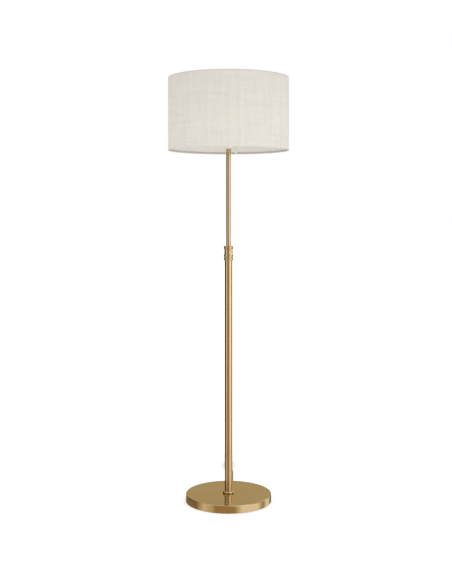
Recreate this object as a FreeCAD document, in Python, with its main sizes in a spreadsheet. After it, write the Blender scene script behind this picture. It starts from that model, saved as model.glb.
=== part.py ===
import FreeCAD, Part
import math
import os

import Sketcher

# Telescopic floor lamp: a weighted round base, a fixed lower tube with a clamp
# collar, a sliding mast, a pull-chain lamp holder, a harp and a drum shade.
# Frame: +Z up, origin on the floor at the lamp's axis, the front faces -Y.

os.makedirs("parts", exist_ok=True)
doc = FreeCAD.newDocument("floor_lamp")
Vector = FreeCAD.Vector

# Driving dimensions, in millimetres (angles in degrees)
driving = {
    # base
    "base_diameter": 285.5,
    "base_height": 26.0,
    "base_skin": 1.5,
    "base_edge_round": 2.5,
    "cover_lift": 1.0,          # the cover's rim stands this far above the floor
    "pad_thickness": 3.0,
    "pad_margin": 5.0,
    "plate_thickness": 1.5,
    "plate_gap": 2.5,
    "weight_diameter": 250.0,
    "weight_thickness": 14.0,
    "recess_radius": 25.0,
    "recess_depth": 9.0,
    "screw_circle": 95.0,       # radius of the circle of plate screws
    "screw_radius": 2.0,
    "screw_length": 10.0,
    "screw_head_radius": 3.8,
    "screw_head_height": 2.2,
    "boss_radius": 8.0,
    "foot_radius": 19.5,
    "foot_height": 6.6,
    # threaded tubes (nipples) and their nuts
    "nipple_radius": 5.0,
    "nipple_bore": 3.7,
    "washer_radius": 14.0,
    "washer_thickness": 1.5,
    "nut_radius": 8.1,
    "nut_height": 4.0,
    "lock_nut_height": 3.0,
    # lower tube and clamp collar
    "lower_radius": 12.7,
    "lower_wall": 1.2,
    "lower_length": 798.5,
    "foot_plug_height": 20.0,
    "ring_radius": 15.9,
    "ring_round": 0.7,
    "low_ring_height": 8.3,
    "groove_height": 2.7,
    "mid_ring_height": 8.7,
    "waist_height": 18.4,
    "waist_radius": 13.9,
    "top_ring_height": 10.0,
    "collar_bore": 10.0,
    "collar_lip": 1.5,
    "bush_height": 11.0,
    "grub_radius": 2.0,
    # clamp knob
    "knob_angle": 27.0,         # turned this far to the right of the front
    "knob_radius": 9.0,
    "knob_thickness": 3.8,
    "knob_edge": 1.0,
    "knob_dish_radius": 5.0,    # the round hollow in the knob's face
    "knob_dish_depth": 1.2,
    "knob_floor": 1.2,          # brass left between the hollow and the screw's end
    "knob_neck_radius": 4.2,
    "knob_neck": 1.7,
    "knob_stand_off": 0.8,      # from the waist to the end of the knob's neck
    "knob_drop": 2.1,           # the knob's middle is this far below the waist's
    "clamp_screw_radius": 3.0,
    "clamp_pad_length": 3.0,
    # mast
    "mast_radius": 7.95,
    "mast_wall": 1.0,
    "mast_length": 597.0,
    "mast_rise": 322.5,         # from the collar's top to the mast's top, as pictured
    "guide_height": 40.0,
    "clip_radius": 10.4,
    "clip_thickness": 1.5,
    "clip_inset": 3.0,
    "top_plug_depth": 14.0,
    "top_plug_flange": 3.0,
    "top_plug_lip": 1.6,        # the flange stands out this far and lands on the collar
    "neck_radius": 8.3,         # the moulded spacer between the mast and the saddle
    "neck_height": 20.0,
    "neck_edge": 0.8,
    # harp and its saddle
    "saddle_width": 14.0,
    "saddle_thickness": 1.5,
    "harp_foot": 27.0,          # from the axis to each foot of the harp
    "harp_reach": 56.0,
    "harp_height": 201.0,
    "harp_wire": 1.6,
    "post_radius": 2.4,
    "post_height": 8.0,
    "ferrule_radius": 3.7,
    "ferrule_height": 13.0,
    "harp_plate_radius": 9.0,
    "harp_plate": 1.5,
    "stud_radius": 3.1,
    "stud_flange_radius": 7.0,
    "stud_flange": 1.9,
    "stud_head_radius": 5.0,
    "stud_length": 16.0,
    "finial_base_radius": 6.0,
    "finial_neck_radius": 3.8,
    "finial_ball_radius": 8.0,
    "finial_height": 24.0,
    # lamp holder and bulb
    "cap_radius": 17.3,
    "cap_wall": 0.8,
    "cap_height": 18.0,
    "cap_hub_radius": 8.5,
    "cap_hub_height": 6.0,
    "shell_wall": 0.5,
    "shell_height": 46.0,
    "liner_wall": 0.6,
    "holder_height": 22.0,
    "screw_shell_radius": 13.9,
    "screw_shell_wall": 0.6,
    "screw_shell_height": 20.0,
    "contact_height": 1.5,
    "bulb_base_radius": 13.1,
    "bulb_base_height": 26.0,
    "bulb_radius": 30.0,
    "bulb_height": 102.0,
    "bulb_wall": 0.9,
    # pull chain
    "spout_rise": 10.0,
    "spout_radius": 3.1,
    "mouth_radius": 3.5,
    "mouth_drop": 9.0,          # from the arm's middle down to the mouth's rim
    "mouth_bore": 1.9,
    "chain_offset": 25.5,
    "chain_length": 48.0,
    "chain_ball": 1.2,
    "chain_pitch": 3.2,
    "bell_height": 15.0,
    "bell_radius": 2.6,
    # shade
    "shade_radius": 203.0,
    "shade_height": 243.0,
    "fabric_thickness": 0.8,
    "lining_thickness": 0.6,
    "hem_height": 7.5,
    "hem_depth": 4.0,
    "hem_wall": 0.8,
    "ring_wire": 1.5,
    "arm_wire": 1.4,
    "spider_drop": 13.3,
    "hub_radius": 13.0,
    "hub_thickness": 1.6,
    # cord
    "cord_diameter": 5.0,
    "cord_clearance": 0.5,
    "cord_bend": 6.0,
    "bushing_neck_radius": 4.4,
    "bushing_flange_radius": 6.0,
    "bushing_flange": 1.6,
    "bushing_taper": 22.0,
    "bushing_tip_radius": 3.4,
    "slack_radius": 6.5,        # of the loose spiral inside the lower tube
    "slack_pitch": 52.0,
    "hank_run": 86.0,
    "hank_fold": 22.0,
    "hank_layers": 7.0,
    "hank_x": 1.6,
    "hank_y": 395.0,
    "tie_width": 12.0,
    "tie_thickness": 1.2,
    "plug_width": 24.0,
    "plug_height": 14.0,
    "plug_length": 26.0,
    "plug_neck_length": 12.0,
    "blade_length": 16.0,
    "blade_height": 6.3,
    "blade_thickness": 1.5,
    "blade_spacing": 12.7,
    # clearances
    "fit_gap": 0.05,            # between pieces fitted tight on each other
    "running_gap": 0.06,        # radial, where one piece slides or turns in another
    "rest_gap": 0.1,            # between faces that move on each other
    "hole_gap": 0.3,            # around a bolt or nipple in a plain hole
}

sheet = doc.addObject("Spreadsheet::Sheet", "lamp")
sheet.Label = "driving dimensions"
for row, (alias, value) in enumerate(driving.items(), start=1):
    sheet.set(f"A{row}", alias)
    sheet.set(f"B{row}", str(value))
    sheet.setAlias(f"B{row}", alias)
doc.recompute()

# Heights above the floor and shared radii, as expressions of the driving dimensions
plate_top = "(lamp.pad_thickness + lamp.plate_thickness)"
weight_low = "(lamp.base_height - lamp.base_skin - lamp.weight_thickness)"
recess_top = f"({weight_low} + lamp.recess_depth)"
washer_low = f"({recess_top} - lamp.washer_thickness)"
nut_low = f"({washer_low} - lamp.nut_height)"
cord_height = f"({plate_top} + lamp.cord_clearance + lamp.cord_diameter / 2)"
foot_plug_top = "(lamp.base_height + lamp.foot_plug_height)"
slack_low = f"({foot_plug_top} + 4)"
cover_inside = "(lamp.base_diameter / 2 - lamp.base_skin)"
lower_inside = "(lamp.lower_radius - lamp.lower_wall)"
lower_top = "(lamp.base_height + lamp.lower_length)"

groove_low = "lamp.low_ring_height"
groove_top = "(lamp.low_ring_height + lamp.groove_height)"
waist_low = f"({groove_top} + lamp.mid_ring_height)"
waist_top = f"({waist_low} + lamp.waist_height)"
collar_height = f"({waist_top} + lamp.top_ring_height)"
collar_socket = f"({waist_low} - 1)"
collar_low = f"({lower_top} - {collar_socket})"
collar_top = f"({collar_low} + {collar_height})"
knob_height = f"({collar_low} + {waist_low} + lamp.waist_height / 2 - lamp.knob_drop)"
grub_height = f"({collar_low} + {groove_top} + lamp.mid_ring_height / 2)"
knob_low = "(lamp.waist_radius + lamp.knob_stand_off)"
pad_outer = "(lamp.mast_radius + lamp.rest_gap + lamp.clamp_pad_length)"

mast_top = f"({collar_top} + lamp.mast_rise)"
mast_low = f"({mast_top} - lamp.mast_length)"
mast_inside = "(lamp.mast_radius - lamp.mast_wall)"
guide_low = f"({mast_low} + lamp.clip_inset + lamp.clip_thickness + lamp.rest_gap)"
neck_low = f"({mast_top} + lamp.top_plug_flange)"
saddle_low = f"({neck_low} + lamp.neck_height)"
saddle_top = f"({saddle_low} + lamp.saddle_thickness)"
cap_low = f"({saddle_top} + lamp.lock_nut_height)"
shell_radius = "(lamp.cap_radius - lamp.cap_wall - lamp.fit_gap)"
shell_low = f"({cap_low} + lamp.cap_height * 0.7)"
liner_radius = f"({shell_radius} - lamp.shell_wall - lamp.fit_gap)"
holder_radius = f"({liner_radius} - lamp.liner_wall - lamp.fit_gap)"
holder_top = f"({shell_low} + lamp.holder_height)"
spout_height = f"({shell_low} + lamp.spout_rise)"
bulb_low = f"({holder_top} + lamp.contact_height)"

harp_top = f"({saddle_top} + lamp.harp_height)"
hub_low = f"({harp_top} + lamp.rest_gap + lamp.stud_flange)"
hub_top = f"({hub_low} + lamp.hub_thickness)"
shade_top = f"({hub_low} + lamp.spider_drop)"
shade_low = f"({shade_top} - lamp.shade_height)"
lining_outside = "(lamp.shade_radius - lamp.fabric_thickness)"
lining_inside = f"({lining_outside} - lamp.lining_thickness)"
ring_centre = f"({lining_inside} - lamp.rest_gap - lamp.ring_wire)"
ring_inset = "(lamp.hem_wall + lamp.rest_gap + lamp.ring_wire)"


def size(expression):
    """The value that an expression of driving dimensions has now."""
    return float(sheet.evalExpression(str(expression)))


def place(piece, x="0", y="0", z="0", rotation=None):
    """Give a piece its Placement; each coordinate follows its expression."""
    if rotation is not None:
        piece.Placement = FreeCAD.Placement(Vector(), rotation)
    for axis, expression in zip("xyz", (x, y, z)):
        piece.setExpression(f"Placement.Base.{axis}", str(expression))
    return piece


def pointing(degrees):
    """Turn a piece's own Z axis outwards from the lamp, degrees to the right of the front."""
    angle = math.radians(degrees)
    return FreeCAD.Rotation(Vector(math.cos(angle), math.sin(angle), 0), 90)


def bind(sketch, kind, index, expression):
    """Hold one end of an edge at a distance from the sketch's origin."""
    if expression == "0":
        axis = -2 if kind == "DistanceX" else -1
        sketch.addConstraint(Sketcher.Constraint("PointOnObject", index[0], index[1], axis))
        return
    number = sketch.addConstraint(
        Sketcher.Constraint(kind, -1, 1, index[0], index[1], size(expression)))
    sketch.setExpression(f"Constraints[{number}]", expression)


def arc_between(start, end, radius, side):
    """An arc under half a circle; side 1 has its centre on the left of start to end, -1 on the right."""
    chord = end - start
    left = Vector(-chord.y, chord.x, 0).normalize()
    height = math.sqrt(max(radius ** 2 - (chord.Length / 2) ** 2, 0))
    centre = (start + end) * 0.5 + left * height * side
    first, last = (start, end) if side > 0 else (end, start)
    angles = [math.atan2(p.y - centre.y, p.x - centre.x) for p in (first, last)]
    return Part.ArcOfCircle(Part.Circle(centre, Vector(0, 0, 1), radius), *angles)


def new_sketch(body, plane, name):
    """A sketch on one of the body's own origin planes."""
    sketch = body.newObject("Sketcher::SketchObject", name)
    origin_plane = next(f for f in body.Origin.OriginFeatures if f.Role == plane)
    sketch.AttachmentSupport = [(origin_plane, "")]
    sketch.MapMode = "FlatFace"
    return sketch


def draw_outline(sketch, points, arcs):
    """Draw a closed outline; arcs gives the edges that are arcs, as index: (radius, side)."""
    corners = [Vector(size(x), size(y), 0) for x, y in points]
    ends = []
    for index, start in enumerate(corners):
        end = corners[(index + 1) % len(corners)]
        if index in arcs:
            radius, side = arcs[index]
            sketch.addGeometry(arc_between(start, end, size(radius), side), False)
            ends.append((1, 2) if side > 0 else (2, 1))
            number = sketch.addConstraint(Sketcher.Constraint("Radius", index, size(radius)))
            sketch.setExpression(f"Constraints[{number}]", radius)
        else:
            sketch.addGeometry(Part.LineSegment(start, end), False)
            ends.append((1, 2))
    for index, (x, y) in enumerate(points):
        before = index - 1 if index else len(points) - 1
        sketch.addConstraint(
            Sketcher.Constraint("Coincident", before, ends[before][1], index, ends[index][0]))
        bind(sketch, "DistanceX", (index, ends[index][0]), x)
        bind(sketch, "DistanceY", (index, ends[index][0]), y)


def turned(label, points, arcs=None, z="0"):
    """A piece turned about its own Z axis from an outline of (radius, height) points."""
    body = doc.addObject("PartDesign::Body", label)
    body.Label = label
    sketch = new_sketch(body, "XZ_Plane", label + "_outline")
    draw_outline(sketch, points, arcs or {})
    turn = body.newObject("PartDesign::Revolution", label + "_turn")
    turn.Profile = sketch
    turn.ReferenceAxis = (sketch, ["V_Axis"])
    turn.Angle = 360
    return place(body, z=z)


def tube(label, inner, outer, height, z="0"):
    """A plain tube or ring."""
    return turned(label, [(inner, "0"), (outer, "0"), (outer, height), (inner, height)], z=z)


def circle_sketch(body, plane, name, radius, x="0", y="0"):
    """A sketch of one circle."""
    sketch = new_sketch(body, plane, name)
    sketch.addGeometry(Part.Circle(Vector(size(x), size(y), 0), Vector(0, 0, 1), size(radius)), False)
    number = sketch.addConstraint(Sketcher.Constraint("Radius", 0, size(radius)))
    sketch.setExpression(f"Constraints[{number}]", radius)
    bind(sketch, "DistanceX", (0, 3), x)
    bind(sketch, "DistanceY", (0, 3), y)
    return sketch


def extrude(body, kind, name, sketch, length, reverse=False, both=False):
    """A pad or pocket of a sketch; both means half of it to each side."""
    feature = body.newObject(kind, name)
    feature.Profile = sketch
    feature.Type = 0
    feature.setExpression("Length", length)
    feature.Reversed = reverse
    feature.Midplane = both
    return feature


def three_times(body, features):
    """Repeat features three times about the body's Z axis."""
    pattern = body.newObject("PartDesign::PolarPattern", body.Label + "_pattern")
    pattern.Originals = features
    z_axis = next(f for f in body.Origin.OriginFeatures if f.Role == "Z_Axis")
    pattern.Axis = (z_axis, [""])
    pattern.Angle = 360
    pattern.Occurrences = 3
    body.Tip = pattern


def cylinder(name, radius, height, rotation=None, **where):
    """A plain cylinder, most often a drill or part of a fused piece."""
    piece = doc.addObject("Part::Cylinder", name)
    piece.setExpression("Radius", radius)
    piece.setExpression("Height", height)
    return place(piece, rotation=rotation, **where)


def cut(label, base, *tools):
    """Base less its tools, one Part::Cut each."""
    for number, tool in enumerate(tools, start=1):
        last = number == len(tools)
        piece = doc.addObject("Part::Cut", label if last else f"{label}_cut_{number}")
        piece.Base = base
        piece.Tool = tool
        base = piece
    piece.Label = label
    return piece


def fuse(label, *pieces):
    """Pieces welded into one solid."""
    whole = doc.addObject("Part::MultiFuse", label)
    whole.Shapes = list(pieces)
    whole.Refine = True
    whole.Label = label
    return whole


def group(label, *pieces):
    """Separate solids kept in one node."""
    together = doc.addObject("Part::Compound", label)
    together.Links = list(pieces)
    together.Label = label
    return together


def feature(label, shape):
    """A piece whose shape is worked out here from the driving dimensions."""
    piece = doc.addObject("Part::Feature", label)
    piece.Label = label
    piece.Shape = shape
    piece.Placement = FreeCAD.Placement()
    return piece


def hex_nut(label, height, z):
    """A hexagon nut on a nipple."""
    blank = doc.addObject("Part::Prism", label + "_blank")
    blank.Polygon = 6
    blank.setExpression("Circumradius", "lamp.nut_radius")
    blank.setExpression("Height", height)
    place(blank, z=z)
    bore = cylinder(label + "_bore", "lamp.nipple_radius + lamp.fit_gap", height, z=z)
    return cut(label, blank, bore)


def swept(points, radius, bend=None):
    """A round rod along straight runs joined by tangent arcs.

    Each arc takes 0.45 of the shorter of its two runs, or has the radius bend.
    Returns the solid and the arcs' radii."""
    points = [Vector(*p) for p in points]
    edges, radii = [], []
    start = points[0]
    for before, corner, after in zip(points, points[1:], points[2:]):
        back = (before - corner).normalize()
        ahead = (after - corner).normalize()
        half_turn = (math.pi - back.getAngle(ahead)) / 2
        if bend is None:
            shorter = min((before - corner).Length, (after - corner).Length)
            reach = 0.45 * shorter
        else:
            reach = bend * math.tan(half_turn)
        arc_radius = reach / math.tan(half_turn)
        towards_centre = (back + ahead).normalize()
        middle = corner + towards_centre * (math.hypot(reach, arc_radius) - arc_radius)
        first, last = corner + back * reach, corner + ahead * reach
        edges.append(Part.LineSegment(start, first).toShape())
        edges.append(Part.Arc(first, middle, last).toShape())
        radii.append(arc_radius)
        start = last
    edges.append(Part.LineSegment(start, points[-1]).toShape())
    path = Part.Wire(edges)
    section = Part.Wire(Part.Circle(points[0], points[1] - points[0], radius).toShape())
    solid = path.makePipeShell([section], True, True)
    expected = math.pi * radius ** 2 * path.Length
    assert abs(solid.Volume / expected - 1) < 0.01, "the rod's volume differs from section times length"
    return solid, radii, path.Length


# ---- base ----

cover = turned("base_cover", [
    ("lamp.base_diameter / 2", "lamp.cover_lift"),
    ("lamp.base_diameter / 2", "lamp.base_height - lamp.base_edge_round"),
    ("lamp.base_diameter / 2 - lamp.base_edge_round", "lamp.base_height"),
    ("lamp.nipple_radius + lamp.hole_gap", "lamp.base_height"),
    ("lamp.nipple_radius + lamp.hole_gap", "lamp.base_height - lamp.base_skin"),
    ("lamp.base_diameter / 2 - lamp.base_edge_round", "lamp.base_height - lamp.base_skin"),
    (cover_inside, "lamp.base_height - lamp.base_edge_round"),
    (cover_inside, "lamp.cover_lift"),
], arcs={1: ("lamp.base_edge_round", 1), 5: ("lamp.base_edge_round - lamp.base_skin", -1)})
cord_hole = circle_sketch(cover, "XZ_Plane", "cord_hole", "lamp.bushing_neck_radius + lamp.fit_gap",
                          y=cord_height)
extrude(cover, "PartDesign::Pocket", "cord_hole_cut", cord_hole, "lamp.base_diameter / 2 + 1")

weight = turned("base_weight", [
    ("lamp.recess_radius", "0"),
    ("lamp.weight_diameter / 2", "0"),
    ("lamp.weight_diameter / 2", "lamp.weight_thickness"),
    ("lamp.nipple_radius + lamp.hole_gap", "lamp.weight_thickness"),
    ("lamp.nipple_radius + lamp.hole_gap", "lamp.recess_depth"),
    ("lamp.recess_radius", "lamp.recess_depth"),
], z=weight_low)
boss = extrude(weight, "PartDesign::Pad", "boss",
               circle_sketch(weight, "XY_Plane", "boss_outline", "lamp.boss_radius", y="-lamp.screw_circle"),
               f"{weight_low} - {plate_top}", reverse=True)
boss_hole = extrude(weight, "PartDesign::Pocket", "boss_hole",
                    circle_sketch(weight, "XY_Plane", "boss_hole_outline",
                                  "lamp.screw_radius + lamp.fit_gap", y="-lamp.screw_circle"),
                    "lamp.screw_length * 2", both=True)
three_times(weight, [boss, boss_hole])


def holed_disc(label, radius, thickness, hole_radius, z):
    """A disc with the three screw holes."""
    body = turned(label, [("0", "0"), (radius, "0"), (radius, thickness), ("0", thickness)], z=z)
    outline = circle_sketch(body, "XY_Plane", label + "_hole_outline", hole_radius, y="-lamp.screw_circle")
    hole = extrude(body, "PartDesign::Pocket", label + "_hole", outline, f"{thickness} * 3", both=True)
    three_times(body, [hole])
    return body


holed_disc("bottom_plate", f"{cover_inside} - lamp.plate_gap", "lamp.plate_thickness",
           "lamp.screw_radius + lamp.hole_gap", "lamp.pad_thickness")
holed_disc("floor_pad", f"{cover_inside} - lamp.plate_gap - lamp.pad_margin", "lamp.pad_thickness",
           "lamp.screw_head_radius + 1", "0")

plate_screws = []
for number in range(3):
    angle = f"{120 * number - 90}"
    x, y = f"lamp.screw_circle * cos({angle})", f"lamp.screw_circle * sin({angle})"
    head = cylinder(f"plate_screw_head_{number}", "lamp.screw_head_radius", "lamp.screw_head_height",
                    x=x, y=y, z="lamp.pad_thickness - lamp.screw_head_height")
    shank = cylinder(f"plate_screw_shank_{number}", "lamp.screw_radius", "lamp.screw_length",
                     x=x, y=y, z="lamp.pad_thickness")
    plate_screws.append(fuse(f"plate_screw_{number}", head, shank))
group("plate_screws", *plate_screws)

turned("foot_collar", [
    ("lamp.lower_radius + lamp.fit_gap", "0"),
    ("lamp.foot_radius - lamp.foot_height / 2", "0"),
    ("lamp.foot_radius", "lamp.foot_height / 2"),
    ("lamp.foot_radius - lamp.foot_height / 2", "lamp.foot_height"),
    ("lamp.lower_radius + lamp.fit_gap", "lamp.foot_height"),
], arcs={1: ("lamp.foot_height / 2", 1), 2: ("lamp.foot_height / 2", 1)}, z="lamp.base_height")

tube("tube_plug", "lamp.nipple_radius + lamp.fit_gap", f"{lower_inside} - lamp.fit_gap",
     "lamp.foot_plug_height", z="lamp.base_height")
tube("base_nipple", "lamp.nipple_bore", "lamp.nipple_radius", f"{foot_plug_top} - 2 - {nut_low}", z=nut_low)
tube("base_washer", "lamp.nipple_radius + lamp.hole_gap", "lamp.washer_radius", "lamp.washer_thickness",
     z=washer_low)
hex_nut("base_nut", "lamp.nut_height", nut_low)

# ---- lower tube and clamp collar ----

tube("lower_tube", lower_inside, "lamp.lower_radius", "lamp.lower_length", z="lamp.base_height")

ring_corner = "lamp.ring_radius - lamp.ring_round"
collar_blank = turned("clamp_collar_blank", [
    ("lamp.lower_radius + lamp.fit_gap", "0"),
    (ring_corner, "0"),
    ("lamp.ring_radius", "lamp.ring_round"),
    ("lamp.ring_radius", f"{groove_low} - lamp.ring_round"),
    (ring_corner, groove_low),
    ("lamp.waist_radius", groove_low),
    ("lamp.waist_radius", groove_top),
    (ring_corner, groove_top),
    ("lamp.ring_radius", f"{groove_top} + lamp.ring_round"),
    ("lamp.ring_radius", f"{waist_low} - lamp.ring_round"),
    (ring_corner, waist_low),
    ("lamp.waist_radius", waist_low),
    ("lamp.waist_radius", waist_top),
    (ring_corner, waist_top),
    ("lamp.ring_radius", f"{waist_top} + lamp.ring_round"),
    ("lamp.ring_radius", f"{collar_height} - lamp.ring_round"),
    (ring_corner, collar_height),
    ("lamp.mast_radius + lamp.hole_gap", collar_height),
    ("lamp.mast_radius + lamp.hole_gap", f"{collar_height} - lamp.collar_lip"),
    ("lamp.collar_bore", f"{collar_height} - lamp.collar_lip"),
    ("lamp.collar_bore", collar_socket),
    ("lamp.lower_radius + lamp.fit_gap", collar_socket),
], arcs={edge: ("lamp.ring_round", 1) for edge in (1, 3, 7, 9, 13, 15)}, z=collar_low)
toward_knob = pointing(size("lamp.knob_angle"))
toward_back = pointing(180)
clamp_hole = cylinder("clamp_hole", "lamp.clamp_screw_radius + lamp.running_gap", "lamp.ring_radius",
                      z=knob_height, rotation=toward_knob)
grub_hole = cylinder("grub_hole", "lamp.grub_radius + lamp.fit_gap", "lamp.ring_radius + 1",
                     z=grub_height, rotation=toward_back)
cut("clamp_collar", collar_blank, clamp_hole, grub_hole)

tube("collar_bush", "lamp.mast_radius + lamp.running_gap", "lamp.collar_bore - lamp.fit_gap",
     "lamp.bush_height", z=f"{collar_top} - lamp.collar_lip - lamp.bush_height")

grub_start = "(lamp.lower_radius + lamp.fit_gap)"
grub = turned("collar_grub_screw", [
    ("0", grub_start),
    ("lamp.grub_radius", grub_start),
    ("lamp.grub_radius", "lamp.ring_radius - 0.4"),
    ("lamp.grub_radius / 2", "lamp.ring_radius - 0.4"),
    ("lamp.grub_radius / 2", "lamp.ring_radius - 1.4"),
    ("0", "lamp.ring_radius - 1.4"),
])
place(grub, z=grub_height, rotation=toward_back)

pad_blank = cylinder("pressure_pad_blank", "lamp.clamp_screw_radius - 0.1", pad_outer,
                     z=knob_height, rotation=toward_knob)
pad_hollow = cylinder("pressure_pad_hollow", "lamp.mast_radius + lamp.rest_gap", "lamp.waist_height",
                      z=f"{knob_height} - lamp.waist_height / 2")
cut("pressure_pad", pad_blank, pad_hollow)

screw_start = f"({pad_outer} + lamp.fit_gap)"
rim_low = f"({knob_low} + lamp.knob_neck)"
rim_top = f"({rim_low} + lamp.knob_thickness)"
screw_end = f"({rim_top} - lamp.knob_dish_depth - lamp.knob_floor - lamp.fit_gap)"
clamp_screw = turned("clamp_screw", [
    ("0", screw_start),
    ("lamp.clamp_screw_radius - 0.5", screw_start),
    ("lamp.clamp_screw_radius", f"{screw_start} + 0.5"),
    ("lamp.clamp_screw_radius", screw_end),
    ("0", screw_end),
])
place(clamp_screw, z=knob_height, rotation=toward_knob)

dish_curve = ("((lamp.knob_dish_radius * lamp.knob_dish_radius + lamp.knob_dish_depth * lamp.knob_dish_depth)"
              " / (2 * lamp.knob_dish_depth))")
knob = turned("clamp_knob", [
    ("lamp.clamp_screw_radius + lamp.fit_gap", knob_low),
    ("lamp.knob_neck_radius", knob_low),
    ("lamp.knob_neck_radius", rim_low),
    ("lamp.knob_radius - lamp.knob_edge", rim_low),
    ("lamp.knob_radius", f"{rim_low} + lamp.knob_edge"),
    ("lamp.knob_radius", f"{rim_top} - lamp.knob_edge"),
    ("lamp.knob_radius - lamp.knob_edge", rim_top),
    ("lamp.knob_dish_radius", rim_top),
    ("0", f"{rim_top} - lamp.knob_dish_depth"),
    ("0", f"{screw_end} + lamp.fit_gap"),
    ("lamp.clamp_screw_radius + lamp.fit_gap", f"{screw_end} + lamp.fit_gap"),
], arcs={3: ("lamp.knob_edge", 1), 5: ("lamp.knob_edge", 1), 7: (dish_curve, -1)})
place(knob, z=knob_height, rotation=toward_knob)

# ---- mast ----

tube("guide_bush", "lamp.mast_radius + lamp.running_gap", f"{lower_inside} - lamp.running_gap",
     "lamp.guide_height", z=guide_low)
clips = []
for number, clip_low in enumerate((f"{mast_low} + lamp.clip_inset",
                                   f"{guide_low} + lamp.guide_height + lamp.rest_gap")):
    clips.append(tube(f"guide_clip_{number}", "lamp.mast_radius + 0.02", "lamp.clip_radius",
                      "lamp.clip_thickness", z=clip_low))
group("guide_clips", *clips)

tube("upper_tube", mast_inside, "lamp.mast_radius", "lamp.mast_length", z=mast_low)
turned("top_plug", [
    ("lamp.nipple_radius + lamp.fit_gap", "0"),
    (f"{mast_inside} - lamp.fit_gap", "0"),
    (f"{mast_inside} - lamp.fit_gap", "lamp.top_plug_depth"),
    ("lamp.mast_radius + lamp.top_plug_lip", "lamp.top_plug_depth"),
    ("lamp.mast_radius + lamp.top_plug_lip", "lamp.top_plug_depth + lamp.top_plug_flange"),
    ("lamp.nipple_radius + lamp.fit_gap", "lamp.top_plug_depth + lamp.top_plug_flange"),
], z=f"{mast_top} - lamp.top_plug_depth")
neck_bore, neck_side = "lamp.nipple_radius + lamp.hole_gap", "lamp.neck_radius - lamp.neck_edge"
turned("mast_neck", [
    (neck_bore, "0"),
    (neck_side, "0"),
    ("lamp.neck_radius", "lamp.neck_edge"),
    ("lamp.neck_radius", "lamp.neck_height - lamp.neck_edge"),
    (neck_side, "lamp.neck_height"),
    (neck_bore, "lamp.neck_height"),
], arcs={1: ("lamp.neck_edge", 1), 3: ("lamp.neck_edge", 1)}, z=neck_low)
top_nipple_low = f"({mast_top} - lamp.top_plug_depth + 2)"
tube("top_nipple", "lamp.nipple_bore", "lamp.nipple_radius",
     f"{cap_low} + lamp.cap_hub_height + 2 - {top_nipple_low}", z=top_nipple_low)
cylinder("mast_cord", "lamp.cord_diameter / 2", f"{shell_low} - {mast_low}", z=mast_low)

# ---- harp ----

strip = doc.addObject("Part::Box", "saddle_strip")
strip.setExpression("Length", "lamp.saddle_width")
strip.setExpression("Width", "lamp.harp_foot * 2")
strip.setExpression("Height", "lamp.saddle_thickness")
place(strip, x="-lamp.saddle_width / 2", y="-lamp.harp_foot", z=saddle_low)
saddle_parts = [strip]
for side, sign in (("front", "-"), ("back", "")):
    foot = f"{sign}lamp.harp_foot"
    saddle_parts.append(cylinder(f"saddle_end_{side}", "lamp.saddle_width / 2", "lamp.saddle_thickness",
                                 y=foot, z=saddle_low))
    saddle_parts.append(cylinder(f"saddle_post_{side}", "lamp.post_radius",
                                 "lamp.saddle_thickness + lamp.post_height", y=foot, z=saddle_low))
    ferrule = tube(f"{side}_ferrule", "lamp.post_radius + 0.15", "lamp.ferrule_radius",
                   "lamp.ferrule_height", z=f"{saddle_top} + lamp.rest_gap")
    place(ferrule, y=foot, z=f"{saddle_top} + lamp.rest_gap")
cut("harp_saddle", fuse("saddle_blank", *saddle_parts),
    cylinder("saddle_hole", "lamp.nipple_radius + lamp.hole_gap", "lamp.saddle_thickness", z=saddle_low))
hex_nut("saddle_nut", "lamp.lock_nut_height", saddle_top)


def harp_shape():
    """Two bent wire legs under a round plate with the swivel's hole."""
    low, top = size(f"{saddle_top} + lamp.post_height"), size(harp_top)
    foot, reach = size("lamp.harp_foot"), size("lamp.harp_reach")
    wire, plate = size("lamp.harp_wire"), size("lamp.harp_plate")
    plate_radius = size("lamp.harp_plate_radius")
    under_plate = top - plate - wire + 0.6
    height = top - low
    leg, _, _ = swept([
        (0, foot, low),
        (0, foot, low + 0.12 * height),
        (0, reach, low + 0.34 * height),
        (0, reach, low + 0.72 * height),
        (0, reach * 0.62, low + 0.93 * height),
        (0, plate_radius + 3, under_plate),
        (0, plate_radius - 2.5, under_plate),
    ], wire)
    other_leg = leg.copy()
    other_leg.rotate(Vector(), Vector(0, 0, 1), 180)
    disc = Part.makeCylinder(plate_radius, plate, Vector(0, 0, top - plate))
    hole = Part.makeCylinder(size("lamp.stud_radius + lamp.running_gap"), plate * 3, Vector(0, 0, top - 2 * plate))
    return leg.fuse([other_leg, disc]).cut(hole)


feature("harp", harp_shape())

stud_low = f"({harp_top} - lamp.harp_plate - lamp.rest_gap - 2)"
stud_neck = f"({harp_top} + lamp.rest_gap - {stud_low})"
turned("harp_stud", [
    ("0", "0"),
    ("lamp.stud_head_radius", "0"),
    ("lamp.stud_head_radius", "2"),
    ("lamp.stud_radius", "2"),
    ("lamp.stud_radius", stud_neck),
    ("lamp.stud_flange_radius", stud_neck),
    ("lamp.stud_flange_radius", f"{stud_neck} + lamp.stud_flange"),
    ("lamp.stud_radius", f"{stud_neck} + lamp.stud_flange"),
    ("lamp.stud_radius", f"{stud_neck} + lamp.stud_flange + lamp.stud_length"),
    ("0", f"{stud_neck} + lamp.stud_flange + lamp.stud_length"),
], z=stud_low)

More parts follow.
